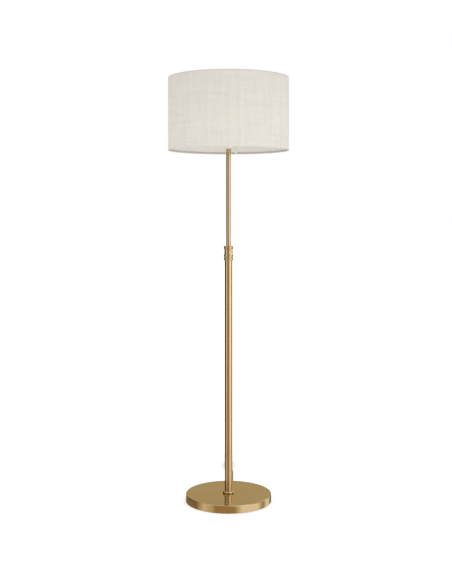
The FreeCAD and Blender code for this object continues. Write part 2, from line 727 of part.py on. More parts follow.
ball_centre = "(lamp.finial_height - lamp.finial_ball_radius)"
ball_low = (f"({ball_centre} - sqrt(lamp.finial_ball_radius * lamp.finial_ball_radius"
            " - lamp.finial_neck_radius * lamp.finial_neck_radius))")
finial_bore = "(lamp.stud_length - lamp.hub_thickness + 1)"
turned("finial", [
    ("lamp.stud_radius + lamp.running_gap", "0"),
    ("lamp.finial_base_radius", "0"),
    ("lamp.finial_base_radius", "2.5"),
    ("lamp.finial_neck_radius", "4.5"),
    ("lamp.finial_neck_radius", ball_low),
    ("lamp.finial_ball_radius", ball_centre),
    ("0", "lamp.finial_height"),
    ("0", finial_bore),
    ("lamp.stud_radius + lamp.running_gap", finial_bore),
], arcs={4: ("lamp.finial_ball_radius", 1), 5: ("lamp.finial_ball_radius", 1)}, z=f"{hub_top} + lamp.rest_gap")

# ---- lamp holder, pull chain and bulb ----

cap_blank = turned("socket_cap_blank", [
    ("lamp.nipple_radius + lamp.fit_gap", "0"),
    ("lamp.cap_hub_radius", "0"),
    ("lamp.cap_hub_radius", "lamp.cap_hub_height"),
    ("lamp.cap_radius", "lamp.cap_height * 0.66"),
    ("lamp.cap_radius", "lamp.cap_height"),
    ("lamp.cap_radius - lamp.cap_wall", "lamp.cap_height"),
    ("lamp.cap_radius - lamp.cap_wall", "lamp.cap_height * 0.7"),
    ("lamp.cap_hub_radius - lamp.cap_wall", "lamp.cap_hub_height + lamp.cap_wall"),
    ("lamp.nipple_radius + lamp.fit_gap", "lamp.cap_hub_height + lamp.cap_wall"),
], z=cap_low)
toward_left = pointing(-90)
toward_right = pointing(90)
cap_screw_height = f"({cap_low} + lamp.cap_hub_height / 2)"
cut("socket_cap", cap_blank,
    cylinder("cap_screw_hole", "1.5 + lamp.fit_gap", "lamp.cap_radius", z=cap_screw_height,
             rotation=toward_left))
cap_screw = turned("cap_screw", [
    ("0", "lamp.nipple_radius + lamp.fit_gap"),
    ("1.5", "lamp.nipple_radius + lamp.fit_gap"),
    ("1.5", "lamp.cap_hub_radius + 0.2"),
    ("2.6", "lamp.cap_hub_radius + 0.2"),
    ("2.6", "lamp.cap_hub_radius + 1.8"),
    ("0", "lamp.cap_hub_radius + 1.8"),
])
place(cap_screw, z=cap_screw_height, rotation=toward_left)

for label, outer, wall, height in (
        ("socket_shell", shell_radius, "lamp.shell_wall", "lamp.shell_height"),
        ("socket_liner", liner_radius, "lamp.liner_wall", "lamp.shell_height - 1")):
    blank = tube(label + "_blank", f"{outer} - {wall}", outer, height, z=shell_low)
    spout_hole = cylinder(label + "_hole", "lamp.spout_radius + lamp.rest_gap", "lamp.cap_radius + 2",
                          z=spout_height, rotation=toward_right)
    cut(label, blank, spout_hole)
turned("socket_body", [
    ("0", "0"),
    (holder_radius, "0"),
    (holder_radius, "lamp.holder_height"),
    ("0", "lamp.holder_height"),
], z=shell_low)
tube("screw_shell", "lamp.screw_shell_radius - lamp.screw_shell_wall", "lamp.screw_shell_radius",
     "lamp.screw_shell_height", z=holder_top)
cylinder("centre_contact", "3.5", "lamp.contact_height", z=holder_top)

spout_arm = cylinder("spout_arm", "lamp.spout_radius", f"lamp.chain_offset - {holder_radius} - lamp.fit_gap",
                     x=f"{holder_radius} + lamp.fit_gap", z=spout_height, rotation=toward_right)
mouth_low = f"({spout_height} - lamp.mouth_drop)"
spout_mouth = cylinder("spout_mouth", "lamp.mouth_radius", "lamp.mouth_drop + lamp.mouth_radius + 0.5",
                       x="lamp.chain_offset", z=mouth_low)
cut("chain_spout", fuse("chain_spout_blank", spout_arm, spout_mouth),
    cylinder("spout_bore", "lamp.mouth_bore", "lamp.mouth_drop + lamp.chain_ball + lamp.hole_gap",
             x="lamp.chain_offset", z=mouth_low))


def chain_shape():
    """Balls joined by short links, hanging straight down from the spout."""
    x, top = size("lamp.chain_offset"), size(spout_height)
    ball, pitch = size("lamp.chain_ball"), size("lamp.chain_pitch")
    count = int(round(size("lamp.chain_length") / pitch)) + 1
    balls = [Part.makeSphere(ball, Vector(x, 0, top - pitch * k)) for k in range(count)]
    link = Part.makeCylinder(ball / 3, pitch * (count - 1), Vector(x, 0, top - pitch * (count - 1)))
    return link.fuse(balls)


chain_end = f"({spout_height} - round(lamp.chain_length / lamp.chain_pitch) * lamp.chain_pitch)"
feature("pull_chain", chain_shape())
bell = turned("chain_bell", [
    ("0", "0"),
    ("lamp.bell_radius * 0.8", "0"),
    ("lamp.bell_radius", "lamp.bell_height * 0.2"),
    ("lamp.bell_radius * 0.72", "lamp.bell_height * 0.7"),
    ("lamp.chain_ball + 0.4", "lamp.bell_height"),
    ("lamp.chain_ball + 0.1", "lamp.bell_height"),
    ("lamp.chain_ball + 0.1", "lamp.bell_height - lamp.chain_ball - 0.1"),
    ("0", "lamp.bell_height - lamp.chain_ball - 0.1"),
])
place(bell, x="lamp.chain_offset", z=f"{chain_end} - lamp.bell_height")

turned("bulb_base", [
    ("0", "0"),
    ("4", "0"),
    ("lamp.bulb_base_radius", "5"),
    ("lamp.bulb_base_radius", "lamp.bulb_base_height"),
    ("0", "lamp.bulb_base_height"),
], z=bulb_low)

# The bulb is a ball that a cone joins to the neck, tangent at bulb_tangent below its middle.
bulb_tangent = 25
bulb_centre = "(lamp.bulb_height - lamp.bulb_base_height - lamp.bulb_radius)"


def bulb_outline(inset):
    """Outline points of the bulb's glass, inset by the wall for its inside."""
    ball = f"(lamp.bulb_radius - {inset})"
    neck = f"(lamp.bulb_base_radius - {inset})"
    tangent_r = f"({ball} * cos({bulb_tangent}))"
    tangent_z = f"({bulb_centre} - {ball} * sin({bulb_tangent}))"
    neck_z = f"({tangent_z} - ({tangent_r} - {neck}) / tan({bulb_tangent}))"
    return [(neck, "0"), (neck, neck_z), (tangent_r, tangent_z), (ball, bulb_centre),
            ("0", f"{bulb_centre} + {ball}")]


outside = bulb_outline("0")
inside = bulb_outline("lamp.bulb_wall")
turned("bulb_glass", outside + inside[::-1],
       arcs={2: ("lamp.bulb_radius", 1), 3: ("lamp.bulb_radius", 1),
             5: ("lamp.bulb_radius - lamp.bulb_wall", -1), 6: ("lamp.bulb_radius - lamp.bulb_wall", -1)},
       z=f"{bulb_low} + lamp.bulb_base_height")

# ---- shade ----


def torus(name, z):
    """A wire ring inside the shade's edge."""
    ring = doc.addObject("Part::Torus", name)
    ring.setExpression("Radius1", ring_centre)
    ring.setExpression("Radius2", "lamp.ring_wire")
    return place(ring, z=z)


def arm_shape():
    """One wire arm, level from the ring, then down to the hub."""
    ring, level = size(ring_centre), size(f"{shade_top} - {ring_inset}")
    hub, wire = size("lamp.hub_radius"), size("lamp.arm_wire")
    hub_level = size(hub_low) + wire
    return swept([
        (ring, 0, level),
        (hub * 4.2, 0, level),
        (hub * 1.8, 0, hub_level),
        (hub * 0.75, 0, hub_level),
    ], wire)[0]


tube("shade_fabric", lining_outside, "lamp.shade_radius", "lamp.shade_height", z=shade_low)
tube("shade_lining", lining_inside, lining_outside, "lamp.shade_height", z=shade_low)
arms = [place(feature(f"arm_{azimuth}", arm_shape()), rotation=FreeCAD.Rotation(Vector(0, 0, 1), azimuth))
        for azimuth in (90, 210, 330)]
hub_disc = cylinder("hub_disc", "lamp.hub_radius", "lamp.hub_thickness", z=hub_low)
hub_hole = cylinder("hub_hole", "lamp.stud_radius + lamp.hole_gap", "lamp.hub_thickness", z=hub_low)
top_ring = torus("shade_top_ring", f"{shade_top} - {ring_inset}")
spider = cut("shade_spider", fuse("spider_blank", hub_disc, *arms), hub_hole, top_ring)
torus("shade_bottom_ring", f"{shade_low} + {ring_inset}")


def hem(label, mirrored, z):
    """A folded strip around a wire ring, open towards the lining."""
    outer, inner = lining_inside, f"{lining_inside} - lamp.hem_depth"
    slot_bottom, slot_top = "lamp.hem_wall", f"{ring_inset} * 2 - lamp.hem_wall"
    heights = ["0", "0", "lamp.hem_height", "lamp.hem_height", slot_top, slot_top, slot_bottom, slot_bottom]
    radii = [outer, inner, inner, outer, outer, f"{inner} + lamp.hem_wall", f"{inner} + lamp.hem_wall", outer]
    if mirrored:
        heights = [f"lamp.hem_height - {h}" for h in heights]
        heights[2] = heights[3] = "0"
    return turned(label, list(zip(radii, heights)), z=z)


hem("bottom_hem", False, shade_low)
cut("top_hem", hem("top_hem_blank", True, f"{shade_top} - lamp.hem_height"), spider)

# ---- cord inside the lamp ----

cord_radius = size("lamp.cord_diameter / 2")
exit_y = size("lamp.base_diameter / 2 + lamp.bushing_flange + lamp.bushing_taper")
exit_z = size(cord_height)

bushing_neck = "(lamp.base_skin + 0.15)"
bushing_base = "(lamp.bushing_flange + " + bushing_neck + ")"
bushing = turned("cord_bushing", [
    ("lamp.cord_diameter / 2 + lamp.fit_gap", "0"),
    ("lamp.bushing_flange_radius", "0"),
    ("lamp.bushing_flange_radius", "lamp.bushing_flange"),
    ("lamp.bushing_neck_radius", "lamp.bushing_flange"),
    ("lamp.bushing_neck_radius", bushing_base),
    ("lamp.bushing_flange_radius", bushing_base),
    ("lamp.bushing_flange_radius", f"{bushing_base} + lamp.bushing_flange"),
    ("lamp.bushing_neck_radius", f"{bushing_base} + lamp.bushing_flange"),
    ("lamp.bushing_tip_radius", f"{bushing_base} + lamp.bushing_flange + lamp.bushing_taper"),
    ("lamp.cord_diameter / 2 + lamp.fit_gap", f"{bushing_base} + lamp.bushing_flange + lamp.bushing_taper"),
])
place(bushing, y=f"lamp.base_diameter / 2 - {bushing_base}", z=cord_height, rotation=pointing(180))

base_cord, _, _ = swept([(0, exit_y, exit_z), (0, 0, exit_z), (0, 0, size(slack_low))], cord_radius,
                        bend=size("lamp.cord_bend"))
feature("base_cord", base_cord)


def slack_shape():
    """The loose spiral between the base's cord and the mast's, for the slide to take up."""
    low, top = size(slack_low), size(mast_low)
    radius, pitch = size("lamp.slack_radius"), size("lamp.slack_pitch")
    steps_per_turn = 6
    straight = pitch / steps_per_turn
    spiral = top - low - 4 * straight
    turns = max(1, round(spiral / pitch))
    steps = turns * steps_per_turn
    points = [(0, 0, low), (0, 0, low + straight)]
    for step in range(steps + 1):
        angle = 2 * math.pi * step / steps_per_turn
        points.append((radius * math.cos(angle), radius * math.sin(angle),
                       low + 2 * straight + spiral * step / steps))
    points += [(0, 0, top - straight), (0, 0, top)]
    return swept(points, cord_radius)[0]


feature("slack_cord", slack_shape())

# ---- free cord, hank and plug ----

# Points of the cord on the floor: x, y and the height of its underside above the floor.
# It leaves the back of the base, runs straight back, then turns in to the hank.
floor_route = [
    (0.0, exit_y, exit_z - cord_radius),
    (0.0, 177.0, exit_z - cord_radius),
    (3.0, 190.0, 2.6),
    (9.6, 205.0, 0.6),
    (13.6, 219.0, 0.0),
    (14.5, 240.0, 0.0),
    (14.6, 268.0, 0.0),
    (15.2, 297.0, 0.1),
    (15.4, 325.0, 0.0),
    (14.9, 346.0, 0.0),
    (12.9, 371.0, 0.0),
    (12.6, 395.0, 0.0),
]
power_cord, radii, power_length = swept([(x, y, lift + cord_radius) for x, y, lift in floor_route], cord_radius)
feature("power_cord", power_cord)
print("floor cord radii", [round(r) for r in radii], "length", round(power_length))

hank_width = "(lamp.hank_fold + lamp.cord_diameter)"
hank_height = "(lamp.hank_layers * lamp.cord_diameter)"
hank_top = size(hank_height)
hank_end = size("lamp.hank_y + lamp.hank_run")
right_side = size("lamp.hank_x + lamp.hank_fold / 2")
plug_x = size("lamp.hank_x + 0.4")
plug_level = size("lamp.plug_height / 2")
plug_start = hank_end + 62
lead_route = [
    (right_side, hank_end - 4, hank_top - cord_radius),
    (right_side, hank_end + 9, hank_top - cord_radius),
    (right_side - 3, hank_end + 24, hank_top - cord_radius - 10),
    (plug_x + 3, hank_end + 36, plug_level + 4.5),
    (plug_x, hank_end + 49, plug_level),
    (plug_x, plug_start, plug_level),
]
plug_lead, radii, lead_length = swept(lead_route, cord_radius)
feature("plug_lead", plug_lead)
print("plug lead radii", [round(r) for r in radii], "length", round(lead_length))

hank = doc.addObject("PartDesign::Body", "cord_hank")
hank.Label = "cord_hank"
hank_sketch = new_sketch(hank, "XY_Plane", "hank_outline")
draw_outline(hank_sketch, [
    (hank_width, f"{hank_width} / 2"),
    (hank_width, f"{hank_width} / 2 + lamp.hank_run"),
    (f"{hank_width} / 2", f"{hank_width} + lamp.hank_run"),
    ("0", f"{hank_width} / 2 + lamp.hank_run"),
    ("0", f"{hank_width} / 2"),
    (f"{hank_width} / 2", "0"),
], {edge: (f"{hank_width} / 2", 1) for edge in (1, 2, 4, 5)})
extrude(hank, "PartDesign::Pad", "hank_pad", hank_sketch, hank_height)
place(hank, x=f"lamp.hank_x - {hank_width} / 2", y=f"lamp.hank_y - {hank_width} / 2")
hank.Label = "cord_hank_blank"


def slab(name, width, height, low):
    """A block across the hank at the tie."""
    block = doc.addObject("Part::Box", name)
    block.setExpression("Length", width)
    block.setExpression("Width", "lamp.tie_width")
    block.setExpression("Height", height)
    return place(block, x=f"lamp.hank_x - ({width}) / 2",
                 y="lamp.hank_y + lamp.hank_run / 2 - lamp.tie_width / 2", z=low)


def tie_band(name):
    """The band round the hank: its outside is flush with the hank's own."""
    outside_block = slab(name + "_outside", hank_width, hank_height, "0")
    inside_block = slab(name + "_inside", f"({hank_width} - lamp.tie_thickness * 2)",
                        f"({hank_height} - lamp.tie_thickness * 2)", "lamp.tie_thickness")
    return cut(name, outside_block, inside_block)


tie_band("hank_tie")
cut("cord_hank", hank, tie_band("hank_notch"))

plug_block = doc.addObject("Part::Box", "plug_block")
plug_block.setExpression("Length", "lamp.plug_width")
plug_block.setExpression("Width", "lamp.plug_length")
plug_block.setExpression("Height", "lamp.plug_height")
plug_y = f"({plug_start} + lamp.plug_neck_length)"
place(plug_block, x=f"{plug_x} - lamp.plug_width / 2", y=plug_y)
doc.recompute()
plug_rounded = doc.addObject("Part::Fillet", "plug_rounded")
plug_rounded.Base = plug_block
along_y = [number for number, edge in enumerate(plug_block.Shape.Edges, start=1)
           if abs(edge.tangentAt(edge.FirstParameter).y) > 0.9]
plug_rounded.Edges = [(number, size("lamp.plug_height * 0.3"), size("lamp.plug_height * 0.3")) for number in along_y]
plug_neck = doc.addObject("Part::Cone", "plug_neck")
plug_neck.setExpression("Radius1", "lamp.cord_diameter / 2 + 0.8")
plug_neck.setExpression("Radius2", "lamp.plug_height * 0.42")
plug_neck.setExpression("Height", "lamp.plug_neck_length")
place(plug_neck, x=f"{plug_x}", y=f"{plug_start}", z="lamp.plug_height / 2", rotation=pointing(180))
fuse("plug_body", plug_rounded, plug_neck)

blades = []
for number, side in enumerate((-1, 1)):
    blade = doc.addObject("Part::Box", f"blade_{number}")
    blade.setExpression("Length", "lamp.blade_thickness")
    blade.setExpression("Width", "lamp.blade_length")
    blade.setExpression("Height", "lamp.blade_height")
    blades.append(place(blade, x=f"{plug_x} + {side} * lamp.blade_spacing / 2 - lamp.blade_thickness / 2",
                        y=f"{plug_y} + lamp.plug_length", z="lamp.plug_height / 2 - lamp.blade_height / 2"))
group("plug_blades", *blades)

# ---- write the pieces ----

nodes = """base_cover base_weight bottom_plate floor_pad plate_screws foot_collar tube_plug base_nipple
base_washer base_nut lower_tube clamp_collar collar_bush collar_grub_screw pressure_pad clamp_screw
clamp_knob guide_bush guide_clips upper_tube top_plug mast_neck top_nipple mast_cord harp_saddle saddle_nut
front_ferrule back_ferrule harp harp_stud finial socket_cap cap_screw socket_shell socket_liner
socket_body screw_shell centre_contact chain_spout pull_chain chain_bell bulb_base bulb_glass
shade_fabric shade_lining shade_spider shade_top_ring shade_bottom_ring bottom_hem top_hem cord_bushing base_cord
slack_cord power_cord plug_lead cord_hank hank_tie plug_body plug_blades""".split()

doc.recompute()
for item in doc.Objects:
    if "Invalid" in item.State or "Error" in item.State:
        raise RuntimeError(f"{item.Label} did not build: {item.State}")
by_label = {item.Label: item for item in doc.Objects}
for node in nodes:
    shape = by_label[node].Shape
    if shape.isNull() or not shape.isValid() or not shape.Solids:
        raise RuntimeError(f"{node} is not a valid solid")
    shape.exportStep(f"parts/{node}.step")
print(len(nodes), "nodes; height", round(size(shade_top), 1), "mm to the shade's top; cord",
      round(power_length + lead_length), "mm outside the hank")
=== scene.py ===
import math

import bpy
import numpy as np
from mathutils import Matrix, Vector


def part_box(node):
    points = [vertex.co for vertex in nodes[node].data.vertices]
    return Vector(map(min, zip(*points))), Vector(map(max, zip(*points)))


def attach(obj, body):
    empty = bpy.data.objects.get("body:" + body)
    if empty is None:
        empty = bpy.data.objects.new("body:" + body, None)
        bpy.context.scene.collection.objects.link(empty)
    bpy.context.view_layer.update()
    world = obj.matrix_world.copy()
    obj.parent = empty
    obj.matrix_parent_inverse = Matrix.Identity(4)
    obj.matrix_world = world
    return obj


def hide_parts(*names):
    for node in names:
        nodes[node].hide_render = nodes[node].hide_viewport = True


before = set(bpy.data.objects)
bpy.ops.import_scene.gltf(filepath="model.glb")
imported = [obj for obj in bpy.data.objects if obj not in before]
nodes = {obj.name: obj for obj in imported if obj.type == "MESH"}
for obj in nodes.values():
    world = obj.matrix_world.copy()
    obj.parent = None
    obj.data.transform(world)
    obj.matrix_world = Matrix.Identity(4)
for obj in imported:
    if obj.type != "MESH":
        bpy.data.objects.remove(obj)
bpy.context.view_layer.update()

# ---- camera: level, in front of the lamp, the horizon above the picture's middle ----
photoView = dict(
    across=-0.0084, back=3.134, height=0.9604,   # where the lens stands, metres
    focalPixels=933.6, horizonRow=214.2,         # read from the photograph
    frameRows=584, sensor=36.0,
)
cameraData = bpy.data.cameras.new("studioCamera")
camera = bpy.data.objects.new("studioCamera", cameraData)
bpy.context.scene.collection.objects.link(camera)
camera.location = (photoView["across"], -photoView["back"], photoView["height"])
camera.rotation_euler = (math.radians(90), 0, 0)
cameraData.sensor_width = photoView["sensor"]
cameraData.lens = photoView["focalPixels"] / photoView["frameRows"] * photoView["sensor"]
cameraData.shift_y = (photoView["horizonRow"] - photoView["frameRows"] / 2) / photoView["frameRows"]
bpy.context.scene.camera = camera


# ---- small helpers for node trees ----
def addNode(tree, kind, **settings):
    node = tree.nodes.new(kind)
    for name, value in settings.items():
        setattr(node, name, value)
    return node


def feed(tree, socket, value):
    if isinstance(value, bpy.types.NodeSocket):
        tree.links.new(value, socket)
    else:
        socket.default_value = value


def calc(tree, operation, *values):
    node = addNode(tree, "ShaderNodeMath", operation=operation)
    for socket, value in zip(node.inputs, values):
        feed(tree, socket, value)
    return node.outputs[0]


def blended(tree, first, firstShare, second, secondShare):
    return calc(tree, "ADD", calc(tree, "MULTIPLY", first, firstShare),
                calc(tree, "MULTIPLY", second, secondShare))


def stretched(tree, vector, scale):
    node = addNode(tree, "ShaderNodeVectorMath", operation="MULTIPLY")
    feed(tree, node.inputs[0], vector)
    node.inputs[1].default_value = scale
    return node.outputs[0]


def clouds(tree, vector, scale, detail=2.0, roughness=0.5):
    node = addNode(tree, "ShaderNodeTexNoise")
    feed(tree, node.inputs["Vector"], vector)
    feed(tree, node.inputs["Scale"], scale)
    node.inputs["Detail"].default_value = detail
    node.inputs["Roughness"].default_value = roughness
    return node.outputs[0]


def streaks(tree, vector, scale, detail=2.0, roughness=0.5):
    # clouds drawn out along one way: scale is clouds per metre in each direction
    return clouds(tree, stretched(tree, vector, scale), 1.0, detail, roughness)


def fitted(tree, value, low, high, newLow=0.0, newHigh=1.0):
    node = addNode(tree, "ShaderNodeMapRange", clamp=True)
    for socket, number in zip(node.inputs, (value, low, high, newLow, newHigh)):
        feed(tree, socket, number)
    return node.outputs[0]


def between(tree, factor, first, second):
    node = addNode(tree, "ShaderNodeMix", data_type="RGBA")
    feed(tree, node.inputs[0], factor)
    feed(tree, node.inputs[6], first)
    feed(tree, node.inputs[7], second)
    return node.outputs[2]


def startGroup(name, inputs, outputs):
    tree = bpy.data.node_groups.new(name, "ShaderNodeTree")
    for label, kind, value in inputs:
        socket = tree.interface.new_socket(name=label, in_out="INPUT", socket_type=kind)
        if value is not None:
            socket.default_value = value
    for label, kind in outputs:
        tree.interface.new_socket(name=label, in_out="OUTPUT", socket_type=kind)
    return tree, tree.nodes.new("NodeGroupInput").outputs, tree.nodes.new("NodeGroupOutput").inputs


def placeGroup(tree, group, **values):
    node = addNode(tree, "ShaderNodeGroup", node_tree=group)
    for label, value in values.items():
        feed(tree, node.inputs[label], value)
    return node.outputs


floatKind, vectorKind = "NodeSocketFloat", "NodeSocketVector"


# ---- shared effects ----
def makeTurningLines():
    # Fine lines left by a lathe: noise over distance from the axis and height, nearly constant round the
    # axis, where changeRound is how far the noise moves on per radian.
    changeRound = 0.0009
    tree, given, result = startGroup(
        "turningLines",
        [("Place", vectorKind, None), ("LinesPerMetre", floatKind, 2500.0)],
        [("Lines", floatKind)])
    parts = addNode(tree, "ShaderNodeSeparateXYZ")
    feed(tree, parts.inputs[0], given["Place"])
    x, y, z = parts.outputs
    reach = calc(tree, "SQRT", blended(tree, x, x, y, y))
    angle = calc(tree, "ARCTAN2", y, x)
    spot = addNode(tree, "ShaderNodeCombineXYZ")
    feed(tree, spot.inputs[0], reach)
    feed(tree, spot.inputs[1], z)
    feed(tree, spot.inputs[2], calc(tree, "MULTIPLY", calc(tree, "ABSOLUTE", angle), changeRound))
    feed(tree, result["Lines"],
         clouds(tree, spot.outputs[0], given["LinesPerMetre"], detail=3.0, roughness=0.6))
    return tree


def makeHandTone():
    # Slow clouds, as where a lacquered metal has been handled and dulled.
    tree, given, result = startGroup(
        "handTone",
        [("Place", vectorKind, None), ("CloudsPerMetre", floatKind, 9.0)],
        [("Tone", floatKind)])
    slow = clouds(tree, given["Place"], given["CloudsPerMetre"], detail=3.0, roughness=0.55)
    feed(tree, result["Tone"], fitted(tree, slow, 0.3, 0.7))
    return tree


# Lengths are metres. A scale is clouds per metre along the cloth and across it, and a fit is the range of
# the noise that becomes 0 to 1.
weave = dict(
    bendClouds=90.0, bend=0.0010,                                           # how far a thread wanders
    slubAcross=(26.0, 620.0, 1.0), slubUp=(560.0, 20.0, 1.0), slubDetail=(2.0, 0.6),
    slubAcrossFit=(0.5, 0.78), slubUpFit=(0.52, 0.8), slubShare=0.8, slubHeight=0.9,
    streakUp=(70.0, 5.0, 1.0), streakAcross=(9.0, 80.0, 1.0), streakShares=(0.5, 0.4),
    yarnShares=(0.3, 0.3, 0.4), toneFit=(0.38, 0.58),
    knots=(110.0, 190.0, 1.0), knotFit=(0.70, 0.78),
    patchClouds=16.0, patchFit=(0.32, 0.68),
    # painted shade on the drum's outside: darker towards the top, with a darker line along the top edge
    outsideFrom=-0.0005, topShadeReach=0.16, topShade=0.8, edgeShadeLine=(0.005, 0.002), edgeShade=1.6,
)


def makeLinenWeave():
    # Plain weave: threads cross every Pitch metres; long thin clouds make thick and thin stretches of yarn.
    # Place is the distance along the cloth and across it, in metres.
    tree, given, result = startGroup(
        "linenWeave",
        [("Place", vectorKind, None), ("Pitch", floatKind, 0.0011), ("TopEdge", floatKind, 0.243)],
        [(label, floatKind) for label in ("Tone", "Slubs", "Patches", "PaintedTopShade", "Height")])
    place = given["Place"]
    parts = addNode(tree, "ShaderNodeSeparateXYZ")
    feed(tree, parts.inputs[0], place)
    along, across = parts.outputs[:2]
    wander = calc(tree, "SUBTRACT", clouds(tree, place, weave["bendClouds"], 1.0), 0.5)
    bend = calc(tree, "MULTIPLY", wander, weave["bend"])
    half = calc(tree, "DIVIDE", math.pi, given["Pitch"])
    warp = calc(tree, "MULTIPLY", calc(tree, "ADD", along, bend), half)
    weft = calc(tree, "MULTIPLY", calc(tree, "ADD", across, bend), half)
    over = calc(tree, "MULTIPLY", calc(tree, "COSINE", warp), calc(tree, "COSINE", weft))
    halfOver = calc(tree, "MULTIPLY", over, 0.5)
    threads = blended(
        tree, calc(tree, "ABSOLUTE", calc(tree, "SINE", warp)), calc(tree, "ADD", 0.5, halfOver),
        calc(tree, "ABSOLUTE", calc(tree, "SINE", weft)), calc(tree, "SUBTRACT", 0.5, halfOver))
    acrossSlubs = streaks(tree, place, weave["slubAcross"], *weave["slubDetail"])
    upSlubs = streaks(tree, place, weave["slubUp"], *weave["slubDetail"])
    slubs = calc(tree, "ADD", fitted(tree, acrossSlubs, *weave["slubAcrossFit"]),
                 fitted(tree, upSlubs, *weave["slubUpFit"]))
    # wide soft streaks, as where the yarn changes from one bobbin to the next
    upShare, acrossShare = weave["streakShares"]
    wideStreaks = blended(tree, streaks(tree, place, weave["streakUp"]), upShare,
                          streaks(tree, place, weave["streakAcross"]), acrossShare)
    acrossShare, upShare, wideShare = weave["yarnShares"]
    yarn = blended(tree, acrossSlubs, acrossShare, upSlubs, upShare)
    yarn = calc(tree, "ADD", yarn, calc(tree, "MULTIPLY", wideStreaks, wideShare))
    # a few dark knots in the yarn
    knots = fitted(tree, streaks(tree, place, weave["knots"], 1.0), *weave["knotFit"])
    feed(tree, result["Tone"], fitted(tree, yarn, *weave["toneFit"]))
    feed(tree, result["Slubs"], calc(tree, "ADD", calc(tree, "MULTIPLY", slubs, weave["slubShare"]), knots))
    patches = clouds(tree, place, weave["patchClouds"], detail=3.0, roughness=0.6)
    feed(tree, result["Patches"], fitted(tree, patches, *weave["patchFit"]))
    # painted shade: the outside darkened towards its upper part, and a painted shaded line where the cloth
    # turns over the top ring
    fromTop = calc(tree, "SUBTRACT", given["TopEdge"], across)
    onOutside = calc(tree, "GREATER_THAN", fromTop, weave["outsideFrom"])
    topShade = calc(tree, "ADD", fitted(tree, fromTop, weave["topShadeReach"], 0.0, 0.0, weave["topShade"]),
                fitted(tree, fromTop, *weave["edgeShadeLine"], 0.0, weave["edgeShade"]))
    feed(tree, result["PaintedTopShade"], calc(tree, "MULTIPLY", topShade, onOutside))
    raised = calc(tree, "MULTIPLY", slubs, weave["slubHeight"])
    feed(tree, result["Height"], calc(tree, "ADD", threads, raised))
    return tree


def makeGrain():
    # Even fine grain with a little unevenness, for castings, felt and mouldings.
    tree, given, result = startGroup(
        "surfaceGrain",
        [("Place", vectorKind, None), ("GrainsPerMetre", floatKind, 1500.0)],
        [("Grain", floatKind), ("Unevenness", floatKind)])
    feed(tree, result["Grain"],
         clouds(tree, given["Place"], given["GrainsPerMetre"], detail=3.0, roughness=0.65))
    slowScale = calc(tree, "MULTIPLY", given["GrainsPerMetre"], 0.03)
    feed(tree, result["Unevenness"], fitted(tree, clouds(tree, given["Place"], slowScale), 0.3, 0.7))
    return tree


turningLines, handTone = makeTurningLines(), makeHandTone()
linenWeave, surfaceGrain = makeLinenWeave(), makeGrain()
print("shared effects ready")


# ---- materials ----
def startMaterial(name, **constants):
    material = bpy.data.materials.new(name)
    material.use_nodes = True
    tree = material.node_tree
    shader = tree.nodes["Principled BSDF"]
    for label, value in constants.items():
        shader.inputs[label.replace("_", " ")].default_value = value
    place = addNode(tree, "ShaderNodeTexCoord").outputs["Object"]
    return material, tree, shader, place


def addBump(tree, shader, height, strength, distance):
    bump = addNode(tree, "ShaderNodeBump")
    bump.inputs["Strength"].default_value = strength
    bump.inputs["Distance"].default_value = distance
    feed(tree, bump.inputs["Height"], height)
    feed(tree, shader.inputs["Normal"], bump.outputs[0])


def turnedMetal(name, dark, light, roughness, spreadRoughness, lines=2500.0, cloudsPerMetre=9.0, bump=0.05,
                dullRings=(), dulled=0.0, ringEdge=0.0003):
    # dullRings are height ranges of brushed rings on a polished piece, rougher by dulled and with soft edges.
    material, tree, shader, place = startMaterial(name, Metallic=1.0)
    marks = placeGroup(tree, turningLines, Place=place, LinesPerMetre=lines)
    rub = placeGroup(tree, handTone, Place=place, CloudsPerMetre=cloudsPerMetre)
    tone = blended(tree, rub["Tone"], 0.6, marks["Lines"], 0.4)
    feed(tree, shader.inputs["Base Color"], between(tree, tone, (*dark, 1), (*light, 1)))
    worn = blended(tree, marks["Lines"], 0.5, rub["Tone"], 0.5)
    rough = fitted(tree, worn, 0.25, 0.75, roughness - spreadRoughness, roughness + spreadRoughness)
    if dullRings:
        parts = addNode(tree, "ShaderNodeSeparateXYZ")
        feed(tree, parts.inputs[0], place)
        for low, high in dullRings:
            above = fitted(tree, parts.outputs[2], low - ringEdge, low + ringEdge, 0.0, dulled)
            past = fitted(tree, parts.outputs[2], high - ringEdge, high + ringEdge, 0.0, dulled)
            rough = calc(tree, "ADD", rough, calc(tree, "SUBTRACT", above, past))
    feed(tree, shader.inputs["Roughness"], rough)
    addBump(tree, shader, marks["Lines"], bump, distance=0.0001)
    return material


def grainy(name, dark, light, roughness, grains=1500.0, bump=0.2, distance=0.0002, spreadRoughness=0.06,
           **constants):
    material, tree, shader, place = startMaterial(name, **constants)
    grain = placeGroup(tree, surfaceGrain, Place=place, GrainsPerMetre=grains)
    tone = blended(tree, grain["Grain"], 0.5, grain["Unevenness"], 0.5)
    feed(tree, shader.inputs["Base Color"], between(tree, tone, (*dark, 1), (*light, 1)))
    feed(tree, shader.inputs["Roughness"],
         fitted(tree, grain["Grain"], 0.3, 0.7, roughness - spreadRoughness, roughness + spreadRoughness))
    addBump(tree, shader, grain["Grain"], bump, distance)
    return material


